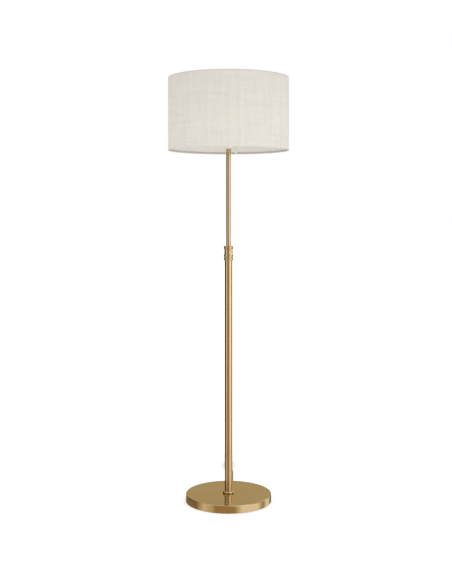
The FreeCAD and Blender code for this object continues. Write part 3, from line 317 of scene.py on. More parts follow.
def linen(name, dark, light, slub, patch, topShade):
    material, tree, shader, _ = startMaterial(name, Roughness=0.88, Sheen_Weight=0.06, Sheen_Roughness=0.4)
    metres = addNode(tree, "ShaderNodeUVMap", uv_map="clothMetres").outputs[0]
    cloth = placeGroup(tree, linenWeave, Place=metres)
    colour = between(tree, cloth["Tone"], (*dark, 1), (*light, 1))
    # the last mask is painted shade: darker towards the top of the outside and along the top edge
    for mask, share, tint in (("Patches", 0.6, patch), ("Slubs", 0.5, slub), ("PaintedTopShade", 0.25, topShade)):
        colour = between(tree, calc(tree, "MULTIPLY", cloth[mask], share), colour, (*tint, 1))
    feed(tree, shader.inputs["Base Color"], colour)
    addBump(tree, shader, cloth["Height"], strength=0.35, distance=0.0004)
    return material


brassColours = dict(dark=(0.585, 0.428, 0.208), light=(0.665, 0.505, 0.275))
brassTube = turnedMetal("brassTube", **brassColours, roughness=0.20, spreadRoughness=0.03, lines=1800.0,
                        bump=0.015)
brassBase = turnedMetal("brassBase", **brassColours, roughness=0.16, spreadRoughness=0.03, lines=1500.0,
                        cloudsPerMetre=14.0)
brassTurned = turnedMetal("brassTurned", **brassColours, roughness=0.18, spreadRoughness=0.04, lines=3000.0)
brassFitting = turnedMetal("brassFitting", (0.46, 0.31, 0.13), (0.68, 0.48, 0.22), 0.26, 0.07, lines=4000.0,
                           cloudsPerMetre=40.0)
brassCollar = turnedMetal("brassCollar", **brassColours, roughness=0.15, spreadRoughness=0.03, lines=3000.0,
                          dullRings=((0.8045, 0.8145), (0.8178, 0.8230), (0.8435, 0.8550)), dulled=0.26)
nickel = turnedMetal("nickelPlate", (0.62, 0.60, 0.55), (0.80, 0.78, 0.73), 0.24, 0.06, lines=5000.0,
                     cloudsPerMetre=60.0)
zinc = turnedMetal("zincSteel", (0.42, 0.42, 0.40), (0.60, 0.59, 0.55), 0.34, 0.08, lines=5000.0,
                   cloudsPerMetre=60.0)
castIron = grainy("castIron", (0.030, 0.028, 0.026), (0.075, 0.070, 0.066), 0.72, grains=700.0, bump=0.6,
                  distance=0.0006, Metallic=0.35)
blackSteel = grainy("blackSteel", (0.012, 0.012, 0.012), (0.030, 0.030, 0.030), 0.42, grains=900.0, bump=0.15)
felt = grainy("blackFelt", (0.008, 0.008, 0.009), (0.040, 0.040, 0.042), 0.95, grains=2600.0, bump=0.9,
              distance=0.0006, Sheen_Weight=0.4)
nylon = grainy("nylon", (0.72, 0.71, 0.66), (0.82, 0.81, 0.77), 0.42, grains=500.0, bump=0.06)
whitePlastic = grainy("whitePlastic", (0.91, 0.90, 0.86), (0.96, 0.955, 0.925), 0.30, grains=400.0, bump=0.03,
                      Coat_Weight=0.3)
blackMoulding = grainy("blackMoulding", (0.012, 0.012, 0.012), (0.030, 0.029, 0.028), 0.34, grains=900.0,
                       bump=0.06)
brownPlastic = grainy("brownPlastic", (0.050, 0.036, 0.020), (0.085, 0.062, 0.036), 0.46, grains=1600.0,
                      bump=0.12)
cordSheath = grainy("cordSheath", (0.115, 0.096, 0.056), (0.165, 0.140, 0.084), 0.40, grains=700.0, bump=0.08,
                    Coat_Weight=0.25)
fibre = grainy("fibreBoard", (0.16, 0.10, 0.055), (0.26, 0.18, 0.10), 0.85, grains=1800.0, bump=0.4)
enamel = grainy("whiteEnamel", (0.70, 0.69, 0.65), (0.80, 0.79, 0.76), 0.32, grains=300.0, bump=0.03)
styrene = grainy("whiteStyrene", (0.83, 0.805, 0.745), (0.89, 0.865, 0.81), 0.55, grains=250.0, bump=0.05)
opalGlass = grainy("opalGlass", (0.86, 0.85, 0.82), (0.92, 0.91, 0.88), 0.22, grains=120.0, bump=0.01,
                   Coat_Weight=0.4)
drawnAluminium = turnedMetal("drawnAluminium", (0.62, 0.61, 0.59), (0.78, 0.77, 0.75), 0.30, 0.06,
                             lines=3500.0, cloudsPerMetre=50.0)
shadeLinen = linen("shadeLinen", dark=(0.675, 0.650, 0.588), light=(0.850, 0.825, 0.765),
                   slub=(0.55, 0.52, 0.45), patch=(0.800, 0.755, 0.655), topShade=(0.50, 0.48, 0.44))
# painted shade: the hems are the same linen as the shade, painted darker for the band turned in at the rim,
# which lies in shade and is not lit through from behind
shadedHemLinen = linen("shadedHemLinen", dark=(0.52, 0.495, 0.42), light=(0.63, 0.605, 0.54),
                 slub=(0.43, 0.40, 0.33), patch=(0.60, 0.57, 0.49), topShade=(0.50, 0.48, 0.43))

finishOf = {
    brassBase: "base_cover",
    brassTube: "lower_tube upper_tube",
    brassTurned: "foot_collar clamp_knob top_plug finial",
    brassCollar: "clamp_collar",
    brassFitting: "harp harp_saddle harp_stud front_ferrule back_ferrule socket_cap socket_shell chain_spout"
                  " centre_contact plug_blades",
    nickel: "pull_chain",
    zinc: "plate_screws tube_plug base_nipple base_washer base_nut collar_grub_screw clamp_screw guide_clips"
          " top_nipple saddle_nut cap_screw",
    castIron: "base_weight",
    blackSteel: "bottom_plate",
    felt: "floor_pad",
    nylon: "collar_bush pressure_pad guide_bush",
    whitePlastic: "chain_bell mast_neck",
    blackMoulding: "socket_body hank_tie",
    brownPlastic: "cord_bushing plug_body",
    cordSheath: "base_cord slack_cord mast_cord power_cord plug_lead cord_hank",
    fibre: "socket_liner",
    enamel: "shade_spider shade_top_ring shade_bottom_ring",
    styrene: "shade_lining",
    opalGlass: "bulb_glass",
    drawnAluminium: "screw_shell bulb_base",
    shadeLinen: "shade_fabric",
    shadedHemLinen: "top_hem bottom_hem",
}
for material, names in finishOf.items():
    for name in names.split():
        for holder in nodes[name].material_slots:
            holder.material = material
print("materials on", sum(len(names.split()) for names in finishOf.values()), "solids")


# ---- cord: one spline from the base to the plug ----
cordFacts = dict(diameter=0.005, length=1.83, layers=7)
hank = dict(
    middle=0.0016, start=0.395, run=0.086, fold=0.011,     # metres; fold is a fold's radius
    pinch=0.0009, pinchReach=0.12,                         # how far the strap draws a run in, and its reach
    foldStep=45.0, climbs=(0.12, 0.38, 0.62, 0.88),        # degrees; diameters climbed in the near fold
    firstRight=(0.0, 0.25, 0.5, 0.88), right=(0.12, 0.5, 0.88), left=(0.85, 0.5, 0.15),   # shares of a run
)
cordRadius = cordFacts["diameter"] / 2
floorPoints = [      # x, y and the underside's height, as in the part
    (0.0, 0.16635, 0.0050), (0.0, 0.177, 0.0050), (0.0030, 0.190, 0.0026), (0.0096, 0.205, 0.0006),
    (0.0136, 0.219, 0.0), (0.0145, 0.240, 0.0), (0.0146, 0.268, 0.0), (0.0152, 0.297, 0.0001),
    (0.0154, 0.325, 0.0), (0.0149, 0.346, 0.0), (0.0129, 0.371, 0.0),
]


hankEnd = hank["start"] + hank["run"]
hankTop = cordFacts["diameter"] * (cordFacts["layers"] - 1)


def pinch(share):
    return hank["pinch"] * math.exp(-((share - 0.5) / hank["pinchReach"]) ** 2)


def hankPoints():
    # Flat loops, one diameter above each other: up the right side, round the far fold, back and round the
    # near fold, where each loop climbs to the next. Corner points stand off by 1 / cos(half a step). At the
    # strap the runs are drawn in, and lifted as far.
    corner = hank["fold"] / math.cos(math.radians(hank["foldStep"] / 2))

    def runPoints(side, shares, height):
        return [(side * (hank["fold"] - pinch(share)), hank["start"] + hank["run"] * share,
                 height + pinch(share)) for share in shares]

    def foldPoint(step, middle, height):
        turn = math.radians(hank["foldStep"] * (step + 0.5))
        return corner * math.cos(turn), middle + corner * math.sin(turn), height

    points = []
    for layer in range(cordFacts["layers"]):
        height = layer * cordFacts["diameter"]
        points += runPoints(1, hank["right"] if layer else hank["firstRight"], height)
        if layer == cordFacts["layers"] - 1:
            break
        points += [foldPoint(step, hankEnd, height) for step in range(4)]
        points += runPoints(-1, hank["left"], height)
        points += [foldPoint(4 + step, hank["start"], height + climb * cordFacts["diameter"])
                   for step, climb in enumerate(hank["climbs"])]
    return [(hank["middle"] + x, y, z) for x, y, z in points]


leadPoints = [
    (0.0126, hankEnd + 0.009, hankTop), (0.0096, hankEnd + 0.024, hankTop - 0.010),
    (0.0050, hankEnd + 0.036, 0.0090), (0.0020, hankEnd + 0.049, 0.0045), (0.0020, hankEnd + 0.062, 0.0045),
    (0.0020, hankEnd + 0.078, 0.0045),
]
route = floorPoints + hankPoints() + leadPoints
curve = bpy.data.curves.new("powerCord", "CURVE")
curve.dimensions = "3D"
curve.resolution_u = curve.render_resolution_u = 6
curve.bevel_depth = cordRadius
curve.bevel_resolution = 5
curve.use_fill_caps = True
spline = curve.splines.new("NURBS")
spline.points.add(len(route) - 1)
spline.points.foreach_set("co", np.array([(x, y, z + cordRadius, 1.0) for x, y, z in route]).ravel())
spline.order_u = 3
spline.use_endpoint_u = True
powerCord = bpy.data.objects.new("powerCord", curve)
bpy.context.scene.collection.objects.link(powerCord)
curve.materials.append(cordSheath)
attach(powerCord, "base")
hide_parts("power_cord", "cord_hank", "plug_lead")
print("cord spline:", len(route), "points")


# ---- surfaces from arrays ----
sharpAngle = 42     # degrees; a sharper edge stays an edge


def fullTurn(columns):
    return np.linspace(0, 2 * np.pi, columns, endpoint=False)[None, :]


def smooth(share):
    return share * share * (3 - 2 * share)


def signedPower(value, power):
    return np.sign(value) * np.abs(value) ** power


def layGrid(name, grid, material, body, replaced=(), closedOutline=False, lengths=None):
    # grid is rows x columns x 3 and wraps round along its columns. A closed outline joins the last row to
    # the first; an open one gets a flat cap on each end. lengths gives each corner's place on the cloth.
    rows, columns = grid.shape[:2]
    number = np.arange(rows * columns).reshape(rows, columns)
    wrapped = np.hstack([number, number[:, :1]])
    if closedOutline:
        wrapped = np.vstack([wrapped, wrapped[:1]])

    def cornersOf(table):
        four = [table[:-1, :-1], table[:-1, 1:], table[1:, 1:], table[1:, :-1]]
        return np.stack(four, axis=2).reshape(-1, 4, *table.shape[2:])

    quads = cornersOf(wrapped)
    points = grid.reshape(-1, 3)
    first, second, third, fourth = (points[quads[:, corner]] - points.mean(axis=0) for corner in range(4))
    volume = (first * (np.cross(second, third) + np.cross(third, fourth))).sum()
    turnRound = -1 if volume < 0 else 1       # so that faces point outwards
    faces = quads[:, ::turnRound].tolist()
    if not closedOutline:
        faces += [number[0][::-turnRound].tolist(), number[-1][::turnRound].tolist()]
    mesh = bpy.data.meshes.new(name)
    mesh.from_pydata(points, [], faces)
    mesh.polygons.foreach_set("use_smooth", np.ones(len(faces), dtype=bool))
    mesh.set_sharp_from_angle(angle=math.radians(sharpAngle))
    if lengths is not None:
        layer = mesh.uv_layers.new(name="clothMetres")
        layer.data.foreach_set("uv", cornersOf(lengths)[:, ::turnRound].ravel())
    mesh.materials.append(material)
    piece = bpy.data.objects.new(name, mesh)
    bpy.context.scene.collection.objects.link(piece)
    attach(piece, body)
    if replaced:
        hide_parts(*replaced)
    return piece


def roundTheDrum(outlineR, outlineZ, columns, ripple=0.0):
    # A closed outline (radius, height) carried round Z; ripple is added to the radius. The lengths run round
    # the drum from the seam at the back and along the outline.
    turn = fullTurn(columns) + np.pi / 2
    radius = outlineR[:, None] + ripple
    grid = np.stack([radius * np.cos(turn), radius * np.sin(turn),
                     np.broadcast_to(outlineZ[:, None], (len(outlineZ), columns))], axis=-1)
    step = np.hypot(np.diff(outlineR, append=outlineR[0]), np.diff(outlineZ, append=outlineZ[0]))
    run = np.concatenate([[0.0], np.cumsum(step)])
    around = np.linspace(0, 2 * np.pi, columns + 1) * outlineR.mean()
    lengths = np.stack(np.broadcast_arrays(around[None, :], run[:, None]), axis=-1)
    return grid, lengths


# ---- shade cloth: wrapped round the drum, glued seam at the back ----
shadeCloth = dict(outside=0.20285, thickness=0.0006, ripple=0.00013, seamWidth=0.012, seamRise=0.0004,
                  seamSoft=0.0008, columns=720, levels=40)
drumLow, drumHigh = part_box("shade_fabric")[0][2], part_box("shade_fabric")[1][2]


def clothSurface():
    # The cloth's cut edge, two long sides and two rounded ends, carried round the drum. The ripple is a sum
    # of slow waves in angle and height, and the seam is a step that falls off smoothly on both sides.
    half = shadeCloth["thickness"] / 2
    levels = drumLow + half + (drumHigh - drumLow - 2 * half) * np.linspace(0, 1, shadeCloth["levels"])
    bend = np.linspace(0, np.pi, 7)[1:-1]
    side = np.full(len(levels), half)
    offset = np.concatenate([side, half * np.cos(bend), -side, -half * np.cos(bend)])
    level = np.concatenate([levels, levels[-1] + half * np.sin(bend),
                            levels[::-1], levels[0] - half * np.sin(bend)])
    turn = fullTurn(shadeCloth["columns"])
    height = (level - drumLow)[:, None]
    ripple = shadeCloth["ripple"] / 2 * (np.sin(5 * turn + 1.1) * np.sin(9 * height + 0.4)
                                         + 0.6 * np.sin(13 * turn + 2.3) * np.cos(21 * height)
                                         + 0.4 * np.sin(31 * turn) * np.sin(55 * height + 1.0))
    away = np.minimum(turn, 2 * np.pi - turn) * shadeCloth["outside"]
    pastSeam = (away - shadeCloth["seamWidth"] / 2) / shadeCloth["seamSoft"]
    seam = shadeCloth["seamRise"] * (0.5 - 0.5 * np.tanh(pastSeam))
    middle = shadeCloth["outside"] - shadeCloth["thickness"]
    ripple = ripple + np.where(offset[:, None] > 0, seam, 0)
    return roundTheDrum(middle + offset, level, shadeCloth["columns"], ripple)


clothGrid, clothLengths = clothSurface()
shadeClothPiece = layGrid("shadeCloth", clothGrid, shadeLinen, "shade", ["shade_fabric"],
                          closedOutline=True, lengths=clothLengths)
print("shade cloth ready")

# ---- hems: the cloth's edge turned in round each wire ring and glued to the lining ----
hemFacts = dict(ring=0.0015, ringLevel=0.0024, clear=0.00015, thickness=0.0007, height=0.0074, lining=0.0006,
                glue=0.0001, pucker=0.00012, columns=540)


def hemSurface(low, upward):
    # Middle line of the strip: from the lining under the ring, three eighths of a circle round the ring's
    # inside, then a smooth curve back to the lining. It is offset by half the thickness both ways and carried
    # round the drum, and the puckers are waves in angle that fade with height.
    half = hemFacts["thickness"] / 2
    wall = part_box("shade_lining")[1][0] - hemFacts["lining"]
    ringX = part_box("shade_bottom_ring")[1][0] - hemFacts["ring"]
    reach = hemFacts["ring"] + hemFacts["clear"] + half
    ringZ = hemFacts["ringLevel"]
    aroundRing = np.linspace(-np.pi / 2, -1.25 * np.pi, 14)
    aroundX, aroundZ = ringX + reach * np.cos(aroundRing), ringZ + reach * np.sin(aroundRing)
    back = np.linspace(0, 1, 10)[1:]
    glued = wall - half - hemFacts["glue"]
    backX = aroundX[-1] + (glued - aroundX[-1]) * smooth(back)
    backZ = aroundZ[-1] + (hemFacts["height"] - half - aroundZ[-1]) * back
    middleX = np.concatenate([[glued], aroundX, backX])
    middleZ = np.concatenate([[ringZ - reach], aroundZ, backZ])
    slope = np.arctan2(np.gradient(middleZ), np.gradient(middleX))
    sideX, sideZ = -np.sin(slope) * half, np.cos(slope) * half
    outlineX = np.concatenate([middleX + sideX, (middleX - sideX)[::-1]])
    outlineZ = np.concatenate([middleZ + sideZ, (middleZ - sideZ)[::-1]])
    turn = fullTurn(hemFacts["columns"])
    share = np.clip(outlineZ / hemFacts["height"], 0, 1)[:, None]
    pucker = -hemFacts["pucker"] * (1 - share) * (0.5 + 0.5 * np.sin(73 * turn + 2 * np.sin(7 * turn)))
    level = low + outlineZ if upward else low - outlineZ
    return roundTheDrum(outlineX, level, hemFacts["columns"], pucker)


for label, edge, upward in (("bottomHem", drumLow, True), ("topHem", drumHigh, False)):
    hemGrid, hemLengths = hemSurface(edge, upward)
    layGrid(label, hemGrid, shadedHemLinen, "shade", [label.replace("Hem", "_hem")],
            closedOutline=True, lengths=hemLengths)
print("hems ready")

# ---- strain relief on the base's cord ----
relief = dict(
    start=0.1395, end=0.16635, height=0.0075, bore=0.00255, flange=0.006, flangeThick=0.0016, wallGap=0.00165,
    neck=0.0044, tip=0.0034, edge=0.0003, leastWall=0.0002,
    pitch=0.0036, slot=0.0015, depth=0.0009, slotEdge=0.0002,      # the slots in the taper
    firstSlot=0.0022, slotsFrom=0.0012, slotsTo=0.0018,            # their places from the taper's two ends
    slotRound=(0.1, 0.35), taperRows=150, columns=72,
)


def reliefSurface():
    # Profile of radius over distance: flange, neck in the wall, flange, then a taper. Slots are cut in the
    # taper at even steps, on two opposite sides, turned a quarter from one to the next.
    start, end, flange, neck, edge = (relief[key] for key in ("start", "end", "flange", "neck", "edge"))
    flangeEnd = start + relief["flangeThick"]
    wallEnd = flangeEnd + relief["wallGap"]
    taperStart = wallEnd + relief["flangeThick"]
    hair = 1e-6       # an upright step between two radii
    steps = [(start, flange - edge), (start + edge, flange), (flangeEnd, flange), (flangeEnd + hair, neck),
             (wallEnd, neck), (wallEnd + hair, flange), (taperStart - edge, flange),
             (taperStart, flange - edge), (taperStart + hair, neck)]
    taper = np.linspace(taperStart + 2e-4, end - edge, relief["taperRows"])
    share = (taper - taperStart) / (end - taperStart)
    radii = neck + (relief["tip"] - neck) * share
    along = np.concatenate([[y for y, _ in steps], taper, [end]])
    radius = np.concatenate([[r for _, r in steps], radii, [relief["tip"] - edge]])
    turn = fullTurn(relief["columns"])
    count = (along - taperStart - relief["firstSlot"]) / relief["pitch"]
    nearest = np.round(count)
    away = np.abs(count - nearest) * relief["pitch"]
    inside = (along > taperStart + relief["slotsFrom"]) & (along < end - relief["slotsTo"])
    inSlot = np.clip((relief["slot"] / 2 - away) / relief["slotEdge"] + 0.5, 0, 1)
    cutAlong = np.where(inside, inSlot, 0)[:, None]
    least, fade = relief["slotRound"]
    cutAround = np.clip((np.cos(2 * (turn - nearest[:, None] * np.pi / 2)) - least) / fade, 0, 1)
    outer = radius[:, None] - relief["depth"] * cutAlong * cutAround
    outer = np.maximum(outer, relief["bore"] + relief["leastWall"])
    inner = np.full((2, relief["columns"]), relief["bore"])
    allRadii = np.vstack([outer, inner])
    allAlong = np.concatenate([along, [end, start]])[:, None] + 0 * turn
    return np.stack([allRadii * np.cos(turn), allAlong, relief["height"] + allRadii * np.sin(turn)], axis=-1)


layGrid("strainRelief", reliefSurface(), brownPlastic, "base", ["cord_bushing"],
        closedOutline=True)
print("strain relief ready")

# ---- plug: a soft moulded body lofted from the cord to the blades ----
plugFacts = dict(
    x=0.0020, low=hankEnd + 0.062, neckEnd=hankEnd + 0.074, high=hankEnd + 0.100, level=0.007,
    halfWidth=0.012, halfHeight=0.007, neck=0.0039, edge=0.0011, growFrom=0.006, growPast=0.004,
    ribDepth=0.00035, ribPitch=0.0024, squareness=2.6, waist=0.0011, waistAt=0.010, waistReach=0.0055,
    ridge=0.0006, ridgeReach=0.0007, ridges=(0.0060, 0.0095, 0.0130, 0.0165),     # from the neck's end
    rows=150, columns=96,
)


def plugSurface():
    # Super-ellipse sections: half-widths and the exponent grow from a ring round the cord to a rounded block.
    # Ribs are cosines along the neck, and four grip ridges are smooth bumps on the narrow sides.
    low, neckEnd, high, edge, neck = (plugFacts[key] for key in ("low", "neckEnd", "high", "edge", "neck"))
    y = low + (high - low) * np.linspace(0, 1, plugFacts["rows"])
    growFrom = plugFacts["growFrom"]
    grow = smooth(np.clip((y - low - growFrom) / (neckEnd + plugFacts["growPast"] - low - growFrom), 0, 1))
    fromEnd = np.clip((high - y) / edge, 0, 1)
    rounded = edge * (1 - np.sqrt(1 - (1 - fromEnd) ** 2))
    ribs = 0.5 - 0.5 * np.cos((y - low) / plugFacts["ribPitch"] * 2 * np.pi)
    neckRib = plugFacts["ribDepth"] * np.clip(1 - grow * 3, 0, 1) * ribs
    fromWaist = (y - neckEnd - plugFacts["waistAt"]) / plugFacts["waistReach"]
    waist = plugFacts["waist"] * np.exp(-fromWaist ** 2)
    ridges = sum(plugFacts["ridge"] * np.exp(-((y - neckEnd - place) / plugFacts["ridgeReach"]) ** 2)
                 for place in plugFacts["ridges"])
    width = neck + (plugFacts["halfWidth"] - neck) * grow - waist + ridges - rounded - neckRib
    height = neck + (plugFacts["halfHeight"] - neck) * grow - rounded - neckRib
    turn = fullTurn(plugFacts["columns"])
    bend = 2 / (2 + plugFacts["squareness"] * grow)[:, None]
    x = width[:, None] * signedPower(np.cos(turn), bend)
    z = height[:, None] * signedPower(np.sin(turn), bend)
    return np.stack([plugFacts["x"] + x, y[:, None] + 0 * turn, plugFacts["level"] + z], axis=-1)


plugBody = layGrid("plugBody", plugSurface(), brownPlastic, "base", ["plug_body"])

# ---- tie: a hook-and-loop strap round the hank, its end lapped over ----
strap = dict(
    x=hank["middle"], y=hank["start"] + hank["run"] / 2, halfLength=0.006, thick=0.0008, slack=0.0001,
    low=0.0005, corner=0.0030, lap=0.017, ramp=0.004, lapRise=1.05,     # lapRise is in thicknesses
    endPower=0.25, facePower=0.8, columns=44, rows=260,
)


def strapSurface():
    # The middle line starts on top of the hank, goes round a rounded rectangle by its length, once and a bit
    # more, and steps out by its thickness where it laps itself. Its section is a flat rectangle with rounded
    # ends. The heading turns a quarter in each corner, and the place is the running sum of the heading.
    offset = strap["thick"] / 2 + strap["slack"]
    high = hankTop + cordFacts["diameter"] + pinch(0.5) + offset
    halfWide, corner = hank["fold"] - pinch(0.5) + cordRadius + offset, strap["corner"]
    straightX, straightZ = 2 * (halfWide - corner), high - strap["low"] - 2 * corner
    arc = corner * np.pi / 2
    loop = 2 * straightX + 2 * straightZ + 4 * arc
    marks = np.cumsum([0, straightX, arc, straightZ, arc, straightX, arc, straightZ, arc])
    headings = np.radians([180, 180, 270, 270, 360, 360, 450, 450, 540])
    run = np.linspace(0, loop + strap["lap"], strap["rows"])
    step = run[1] - run[0]

    def headingAt(place):
        return np.interp(np.mod(place, loop), marks, headings)

    heading, middleHeading = headingAt(run), headingAt(run + step / 2)
    x = np.concatenate([[0], np.cumsum(np.cos(middleHeading) * step)[:-1]]) + straightX / 2
    z = np.concatenate([[0], np.cumsum(np.sin(middleHeading) * step)[:-1]]) + high
    out = np.clip((run - loop + strap["ramp"]) / strap["ramp"], 0, 1)
    out = smooth(out) * strap["thick"] * strap["lapRise"]
    x, z = x + np.sin(heading) * out, z - np.cos(heading) * out
    turn = fullTurn(strap["columns"])
    across = strap["halfLength"] * signedPower(np.cos(turn), strap["endPower"])
    thick = strap["thick"] / 2 * signedPower(np.sin(turn), strap["facePower"])
    return np.stack([strap["x"] + x[:, None] + np.sin(heading)[:, None] * thick,
                     strap["y"] + across + 0 * x[:, None],
                     z[:, None] - np.cos(heading)[:, None] * thick], axis=-1)


cordStrap = layGrid("cordStrap", strapSurface(), felt, "base", ["hank_tie"])
print("plug and strap ready")

# ---- plate screws: round heads with a cross recess ----
screwFacts = dict(
    circle=0.095, firstAt=-90, turned=0.5, turnedMore=0.8,     # degrees round the base; radians of each cross
    headRadius=0.0038, headHeight=0.0022, domeRise=0.0009, level=0.003, shank=0.002, length=0.010,
    recess=0.0018, arm=0.00055, depth=0.0013, armEdge=0.00012, recessEdge=0.00035, rows=46, columns=96,
)


def screwSurface(centreX, centreY, turned):
    # The head is a shallow dome seen from below. The recess falls off with the distance to the nearer arm of
    # the cross and with the distance from the middle; above the head comes the plain shank.
    radius = screwFacts["headRadius"] * np.linspace(0.01, 1, screwFacts["rows"])[:, None]
    turn = fullTurn(screwFacts["columns"])
    x, y = radius * np.cos(turn + turned), radius * np.sin(turn + turned)
    arm = np.minimum(np.abs(x), np.abs(y))
    inArm = np.clip((screwFacts["arm"] - arm) / screwFacts["armEdge"] + 0.5, 0, 1)
    inReach = np.clip((screwFacts["recess"] - radius) / screwFacts["recessEdge"] + 0.5, 0, 1)
    recess = screwFacts["depth"] * inArm * inReach
    low = screwFacts["level"] - screwFacts["headHeight"]
    dome = low + screwFacts["domeRise"] * (radius / screwFacts["headRadius"]) ** 3
    head = dome + recess
    side = [(screwFacts["headRadius"], screwFacts["level"]), (screwFacts["shank"], screwFacts["level"]),
            (screwFacts["shank"], screwFacts["level"] + screwFacts["length"])]
    ringR = np.array([r for r, _ in side])[:, None] + 0 * turn
    ringZ = np.array([z for _, z in side])[:, None] + 0 * turn
    allR, allZ = np.vstack([radius + 0 * turn, ringR]), np.vstack([head, ringZ])
    return np.stack([centreX + allR * np.cos(turn), centreY + allR * np.sin(turn), allZ], axis=-1)


for order in range(3):
    around = math.radians(120 * order + screwFacts["firstAt"])
    centreX, centreY = screwFacts["circle"] * math.cos(around), screwFacts["circle"] * math.sin(around)
    screwGrid = screwSurface(centreX, centreY, screwFacts["turned"] + screwFacts["turnedMore"] * order)
    layGrid("plateScrew" + str(order), screwGrid, zinc, "base", ["plate_screws"])
print("plate screws ready")

# ---- floor, world and lights ----
studio = dict(
    floorSize=40.0, floorWhite=0.93, floorLift=0.25, background=1.0, ambientFront=1.07, ambientBack=0.92,
    keyPower=5.0, keyPlace=(1.9, -1.7, 1.2), keyAim=(0.0, 0.0, 0.8), keySize=(1.2, 1.6),
    ceiling=(0.80, 0.79, 0.76), under=(0.30, 0.26, 0.18), flagsByFloor=0.75,
)
# Where the mirrored room changes: each pair is a start and an end, as the sine of the angle above the
# horizon.
levels = dict(
    ceiling=(0.45, 0.90), glow=(0.12, 0.04), rings=(-0.028, -0.050), wallLow=(-0.055, -0.14),
    descent=(-0.08, -0.29), floor=(-0.262, -0.285), under=(-0.45, -0.90),
)
# What the brass mirrors: tall soft boxes and black flags round the lamp, in one ring at the height of the
# camera and one below it. Bearings are degrees to the right of the front, half is a panel's half width and
# feather the width of its soft edge; low is its brightness by the floor. Walls are the colours of the wall,
# its lower part and its foot.
upperRing = dict(
    walls=[(0.43, 0.39, 0.36)] * 3,
    boxes=[dict(bearing=52, half=17, feather=16, bright=1.15, colour=(1.0, 1.12, 1.40)),
           dict(bearing=-58, half=11, feather=13, bright=0.38, colour=(1.0, 1.02, 1.05)),
           dict(bearing=132, half=10, feather=12, bright=0.68, colour=(1.0, 1.08, 1.25))],
    flags=[dict(bearing=-120, half=24, feather=12, bright=0.90),
           dict(bearing=96, half=6, feather=8, bright=0.2)],
)
lowerRing = dict(
    walls=[(0.35, 0.28, 0.13), (0.45, 0.26, 0.13), (0.45, 0.34, 0.20)],
    boxes=[dict(bearing=61, half=25, feather=18, bright=1.20, low=0.62, colour=(1.0, 1.20, 1.46)),
           dict(bearing=-58, half=12, feather=11, bright=0.75, low=0.24, colour=(1.0, 1.18, 1.35))],
    flags=[dict(bearing=-118, half=25, feather=8, bright=0.97, low=0.95),
           dict(bearing=146, half=30, feather=8, bright=0.97, low=0.9)],
)
# what the base's wall mirrors low down: two cards by the floor, and two darker gaps beside them
floorCards = [dict(bearing=130, half=8, feather=16, bright=0.85, colour=(1.0, 1.15, 1.20)),
              dict(bearing=-74, half=9, feather=12, bright=0.22, colour=(1.0, 1.15, 1.20))]
floorGaps = [dict(bearing=103, half=9, feather=12, bright=0.06),
             dict(bearing=180, half=30, feather=14, bright=0.55)]
backWall = dict(bearing=180, half=26, feather=14, bright=1.0, colour=(0.53, 0.45, 0.27))
backGlow = dict(bearing=-170, half=11, feather=10, bright=0.15, colour=(1.0, 0.92, 0.70))
floorMesh = bpy.data.meshes.new("studioFloor")
side = studio["floorSize"]
corners = [(-side, -side, 0), (side, -side, 0), (side, side, 0), (-side, side, 0)]
floorMesh.from_pydata(corners, [], [(0, 1, 2, 3)])
floor = bpy.data.objects.new("studioFloor", floorMesh)
bpy.context.scene.collection.objects.link(floor)
# The floor is white to the eye and to soft light; the brass mirrors the room through it.
floorFinish = bpy.data.materials.new("studioFloor")
floorFinish.use_nodes = True
tree = floorFinish.node_tree
tree.nodes.clear()
rays = addNode(tree, "ShaderNodeLightPath").outputs
white = addNode(tree, "ShaderNodeBsdfDiffuse")
white.inputs["Color"].default_value = (*[studio["floorWhite"]] * 3, 1)
lift = addNode(tree, "ShaderNodeEmission")
feed(tree, lift.inputs["Strength"], calc(tree, "MULTIPLY", rays["Is Camera Ray"], studio["floorLift"]))
lit = addNode(tree, "ShaderNodeAddShader")
feed(tree, lit.inputs[0], white.outputs[0])
feed(tree, lit.inputs[1], lift.outputs[0])
choice = addNode(tree, "ShaderNodeMixShader")
feed(tree, choice.inputs[0], rays["Is Glossy Ray"])
feed(tree, choice.inputs[1], lit.outputs[0])
feed(tree, choice.inputs[2], addNode(tree, "ShaderNodeBsdfTransparent").outputs[0])
feed(tree, addNode(tree, "ShaderNodeOutputMaterial").inputs[0], choice.outputs[0])
floorMesh.materials.append(floorFinish)

world = bpy.data.worlds.new("studioWorld")
bpy.context.scene.world = world
world.use_nodes = True
tree = world.node_tree
tree.nodes.clear()
parts = addNode(tree, "ShaderNodeSeparateXYZ")
feed(tree, parts.inputs[0], addNode(tree, "ShaderNodeTexCoord").outputs["Generated"])
bearing = calc(tree, "ARCTAN2", parts.outputs[0], calc(tree, "MULTIPLY", parts.outputs[1], -1.0))
rise = parts.outputs[2]


def panelsSum(panels, descent=0.0):
    # Each panel is full within its half width of its bearing and fades over its feather. Its brightness goes
    # to low as descent goes from 0 to 1.
    total = 0.0
    for panel in panels:
        past = calc(tree, "SUBTRACT", bearing, math.radians(panel["bearing"]))
        away = calc(tree, "WRAP", past, math.pi, -math.pi)
        inner, outer = math.radians(panel["half"]), math.radians(panel["half"] + panel["feather"])
        bright = fitted(tree, descent, 0.0, 1.0, panel["bright"], panel.get("low", panel["bright"]))
        shape = fitted(tree, calc(tree, "ABSOLUTE", away), outer, inner, 0.0, bright)
        total = calc(tree, "ADD", total, shape)
    return total


def scaled(colour, amount):
    node = addNode(tree, "ShaderNodeVectorMath", operation="SCALE")
    feed(tree, node.inputs[0], colour)
    feed(tree, node.inputs["Scale"], amount)
    return node.outputs[0]


def added(first, second):
    node = addNode(tree, "ShaderNodeVectorMath", operation="ADD")
    feed(tree, node.inputs[0], first)
    feed(tree, node.inputs[1], second)
    return node.outputs[0]


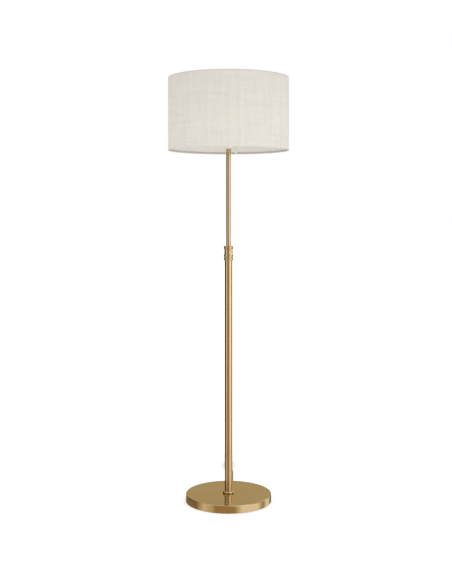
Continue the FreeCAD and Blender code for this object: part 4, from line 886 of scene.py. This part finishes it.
def ringColour(ring, flagFade=1.0):
    wall, wallLow, wallFloor = ((*colour, 1) for colour in ring["walls"])
    descent = fitted(tree, rise, *levels["descent"])
    wall = between(tree, fitted(tree, rise, *levels["wallLow"]), wall, wallLow)
    wall = between(tree, nearFloor, wall, wallFloor)
    wall = between(tree, panelsSum([backWall]), wall, (*backWall["colour"], 1))
    dimmed = calc(tree, "MULTIPLY", panelsSum(ring["flags"], descent), flagFade)
    flagged = scaled(wall, calc(tree, "SUBTRACT", 1.0, dimmed))
    glow = calc(tree, "MULTIPLY", panelsSum([backGlow]), fitted(tree, rise, *levels["glow"]))
    total = added(flagged, scaled(backGlow["colour"], glow))
    for box in ring["boxes"]:
        total = added(total, scaled(box["colour"], panelsSum([box], descent)))
    return total


nearFloor = fitted(tree, rise, *levels["floor"])
flagFade = calc(tree, "SUBTRACT", 1.0, calc(tree, "MULTIPLY", nearFloor, studio["flagsByFloor"]))
lower = ringColour(lowerRing, flagFade)
for card in floorCards:
    lower = added(lower, scaled(card["colour"], calc(tree, "MULTIPLY", panelsSum([card]), nearFloor)))
gap = calc(tree, "MULTIPLY", panelsSum(floorGaps), nearFloor)
lower = scaled(lower, calc(tree, "SUBTRACT", 1.0, gap))
mirrored = between(tree, fitted(tree, rise, *levels["rings"]), ringColour(upperRing), lower)
mirrored = between(tree, fitted(tree, rise, *levels["ceiling"]), mirrored, (*studio["ceiling"], 1))
mirrored = between(tree, fitted(tree, rise, *levels["under"]), mirrored, (*studio["under"], 1))
rays = addNode(tree, "ShaderNodeLightPath").outputs
ambient = fitted(tree, parts.outputs[1], -1.0, 1.0, studio["ambientFront"], studio["ambientBack"])
diffuse = between(tree, rays["Is Glossy Ray"], ambient, mirrored)
seen = between(tree, rays["Is Camera Ray"], diffuse, (*[studio["background"]] * 3, 1))
backdrop = addNode(tree, "ShaderNodeBackground")
feed(tree, backdrop.inputs[0], seen)
feed(tree, addNode(tree, "ShaderNodeOutputWorld").inputs[0], backdrop.outputs[0])

keyData = bpy.data.lights.new("keySoftbox", "AREA")
keyData.shape = "RECTANGLE"
keyData.size, keyData.size_y = studio["keySize"]
keyData.energy = studio["keyPower"]
key = bpy.data.objects.new("keySoftbox", keyData)
bpy.context.scene.collection.objects.link(key)
key.location = studio["keyPlace"]
aim = np.array(studio["keyAim"]) - np.array(studio["keyPlace"])
key.rotation_euler = (math.acos(-aim[2] / np.linalg.norm(aim)), 0, math.atan2(aim[1], aim[0]) - math.pi / 2)
key.visible_glossy = False
key.visible_camera = False

view = bpy.context.scene.view_settings
view.view_transform = "Standard"
view.look = "None"
view.exposure = 0.0
print("studio ready")
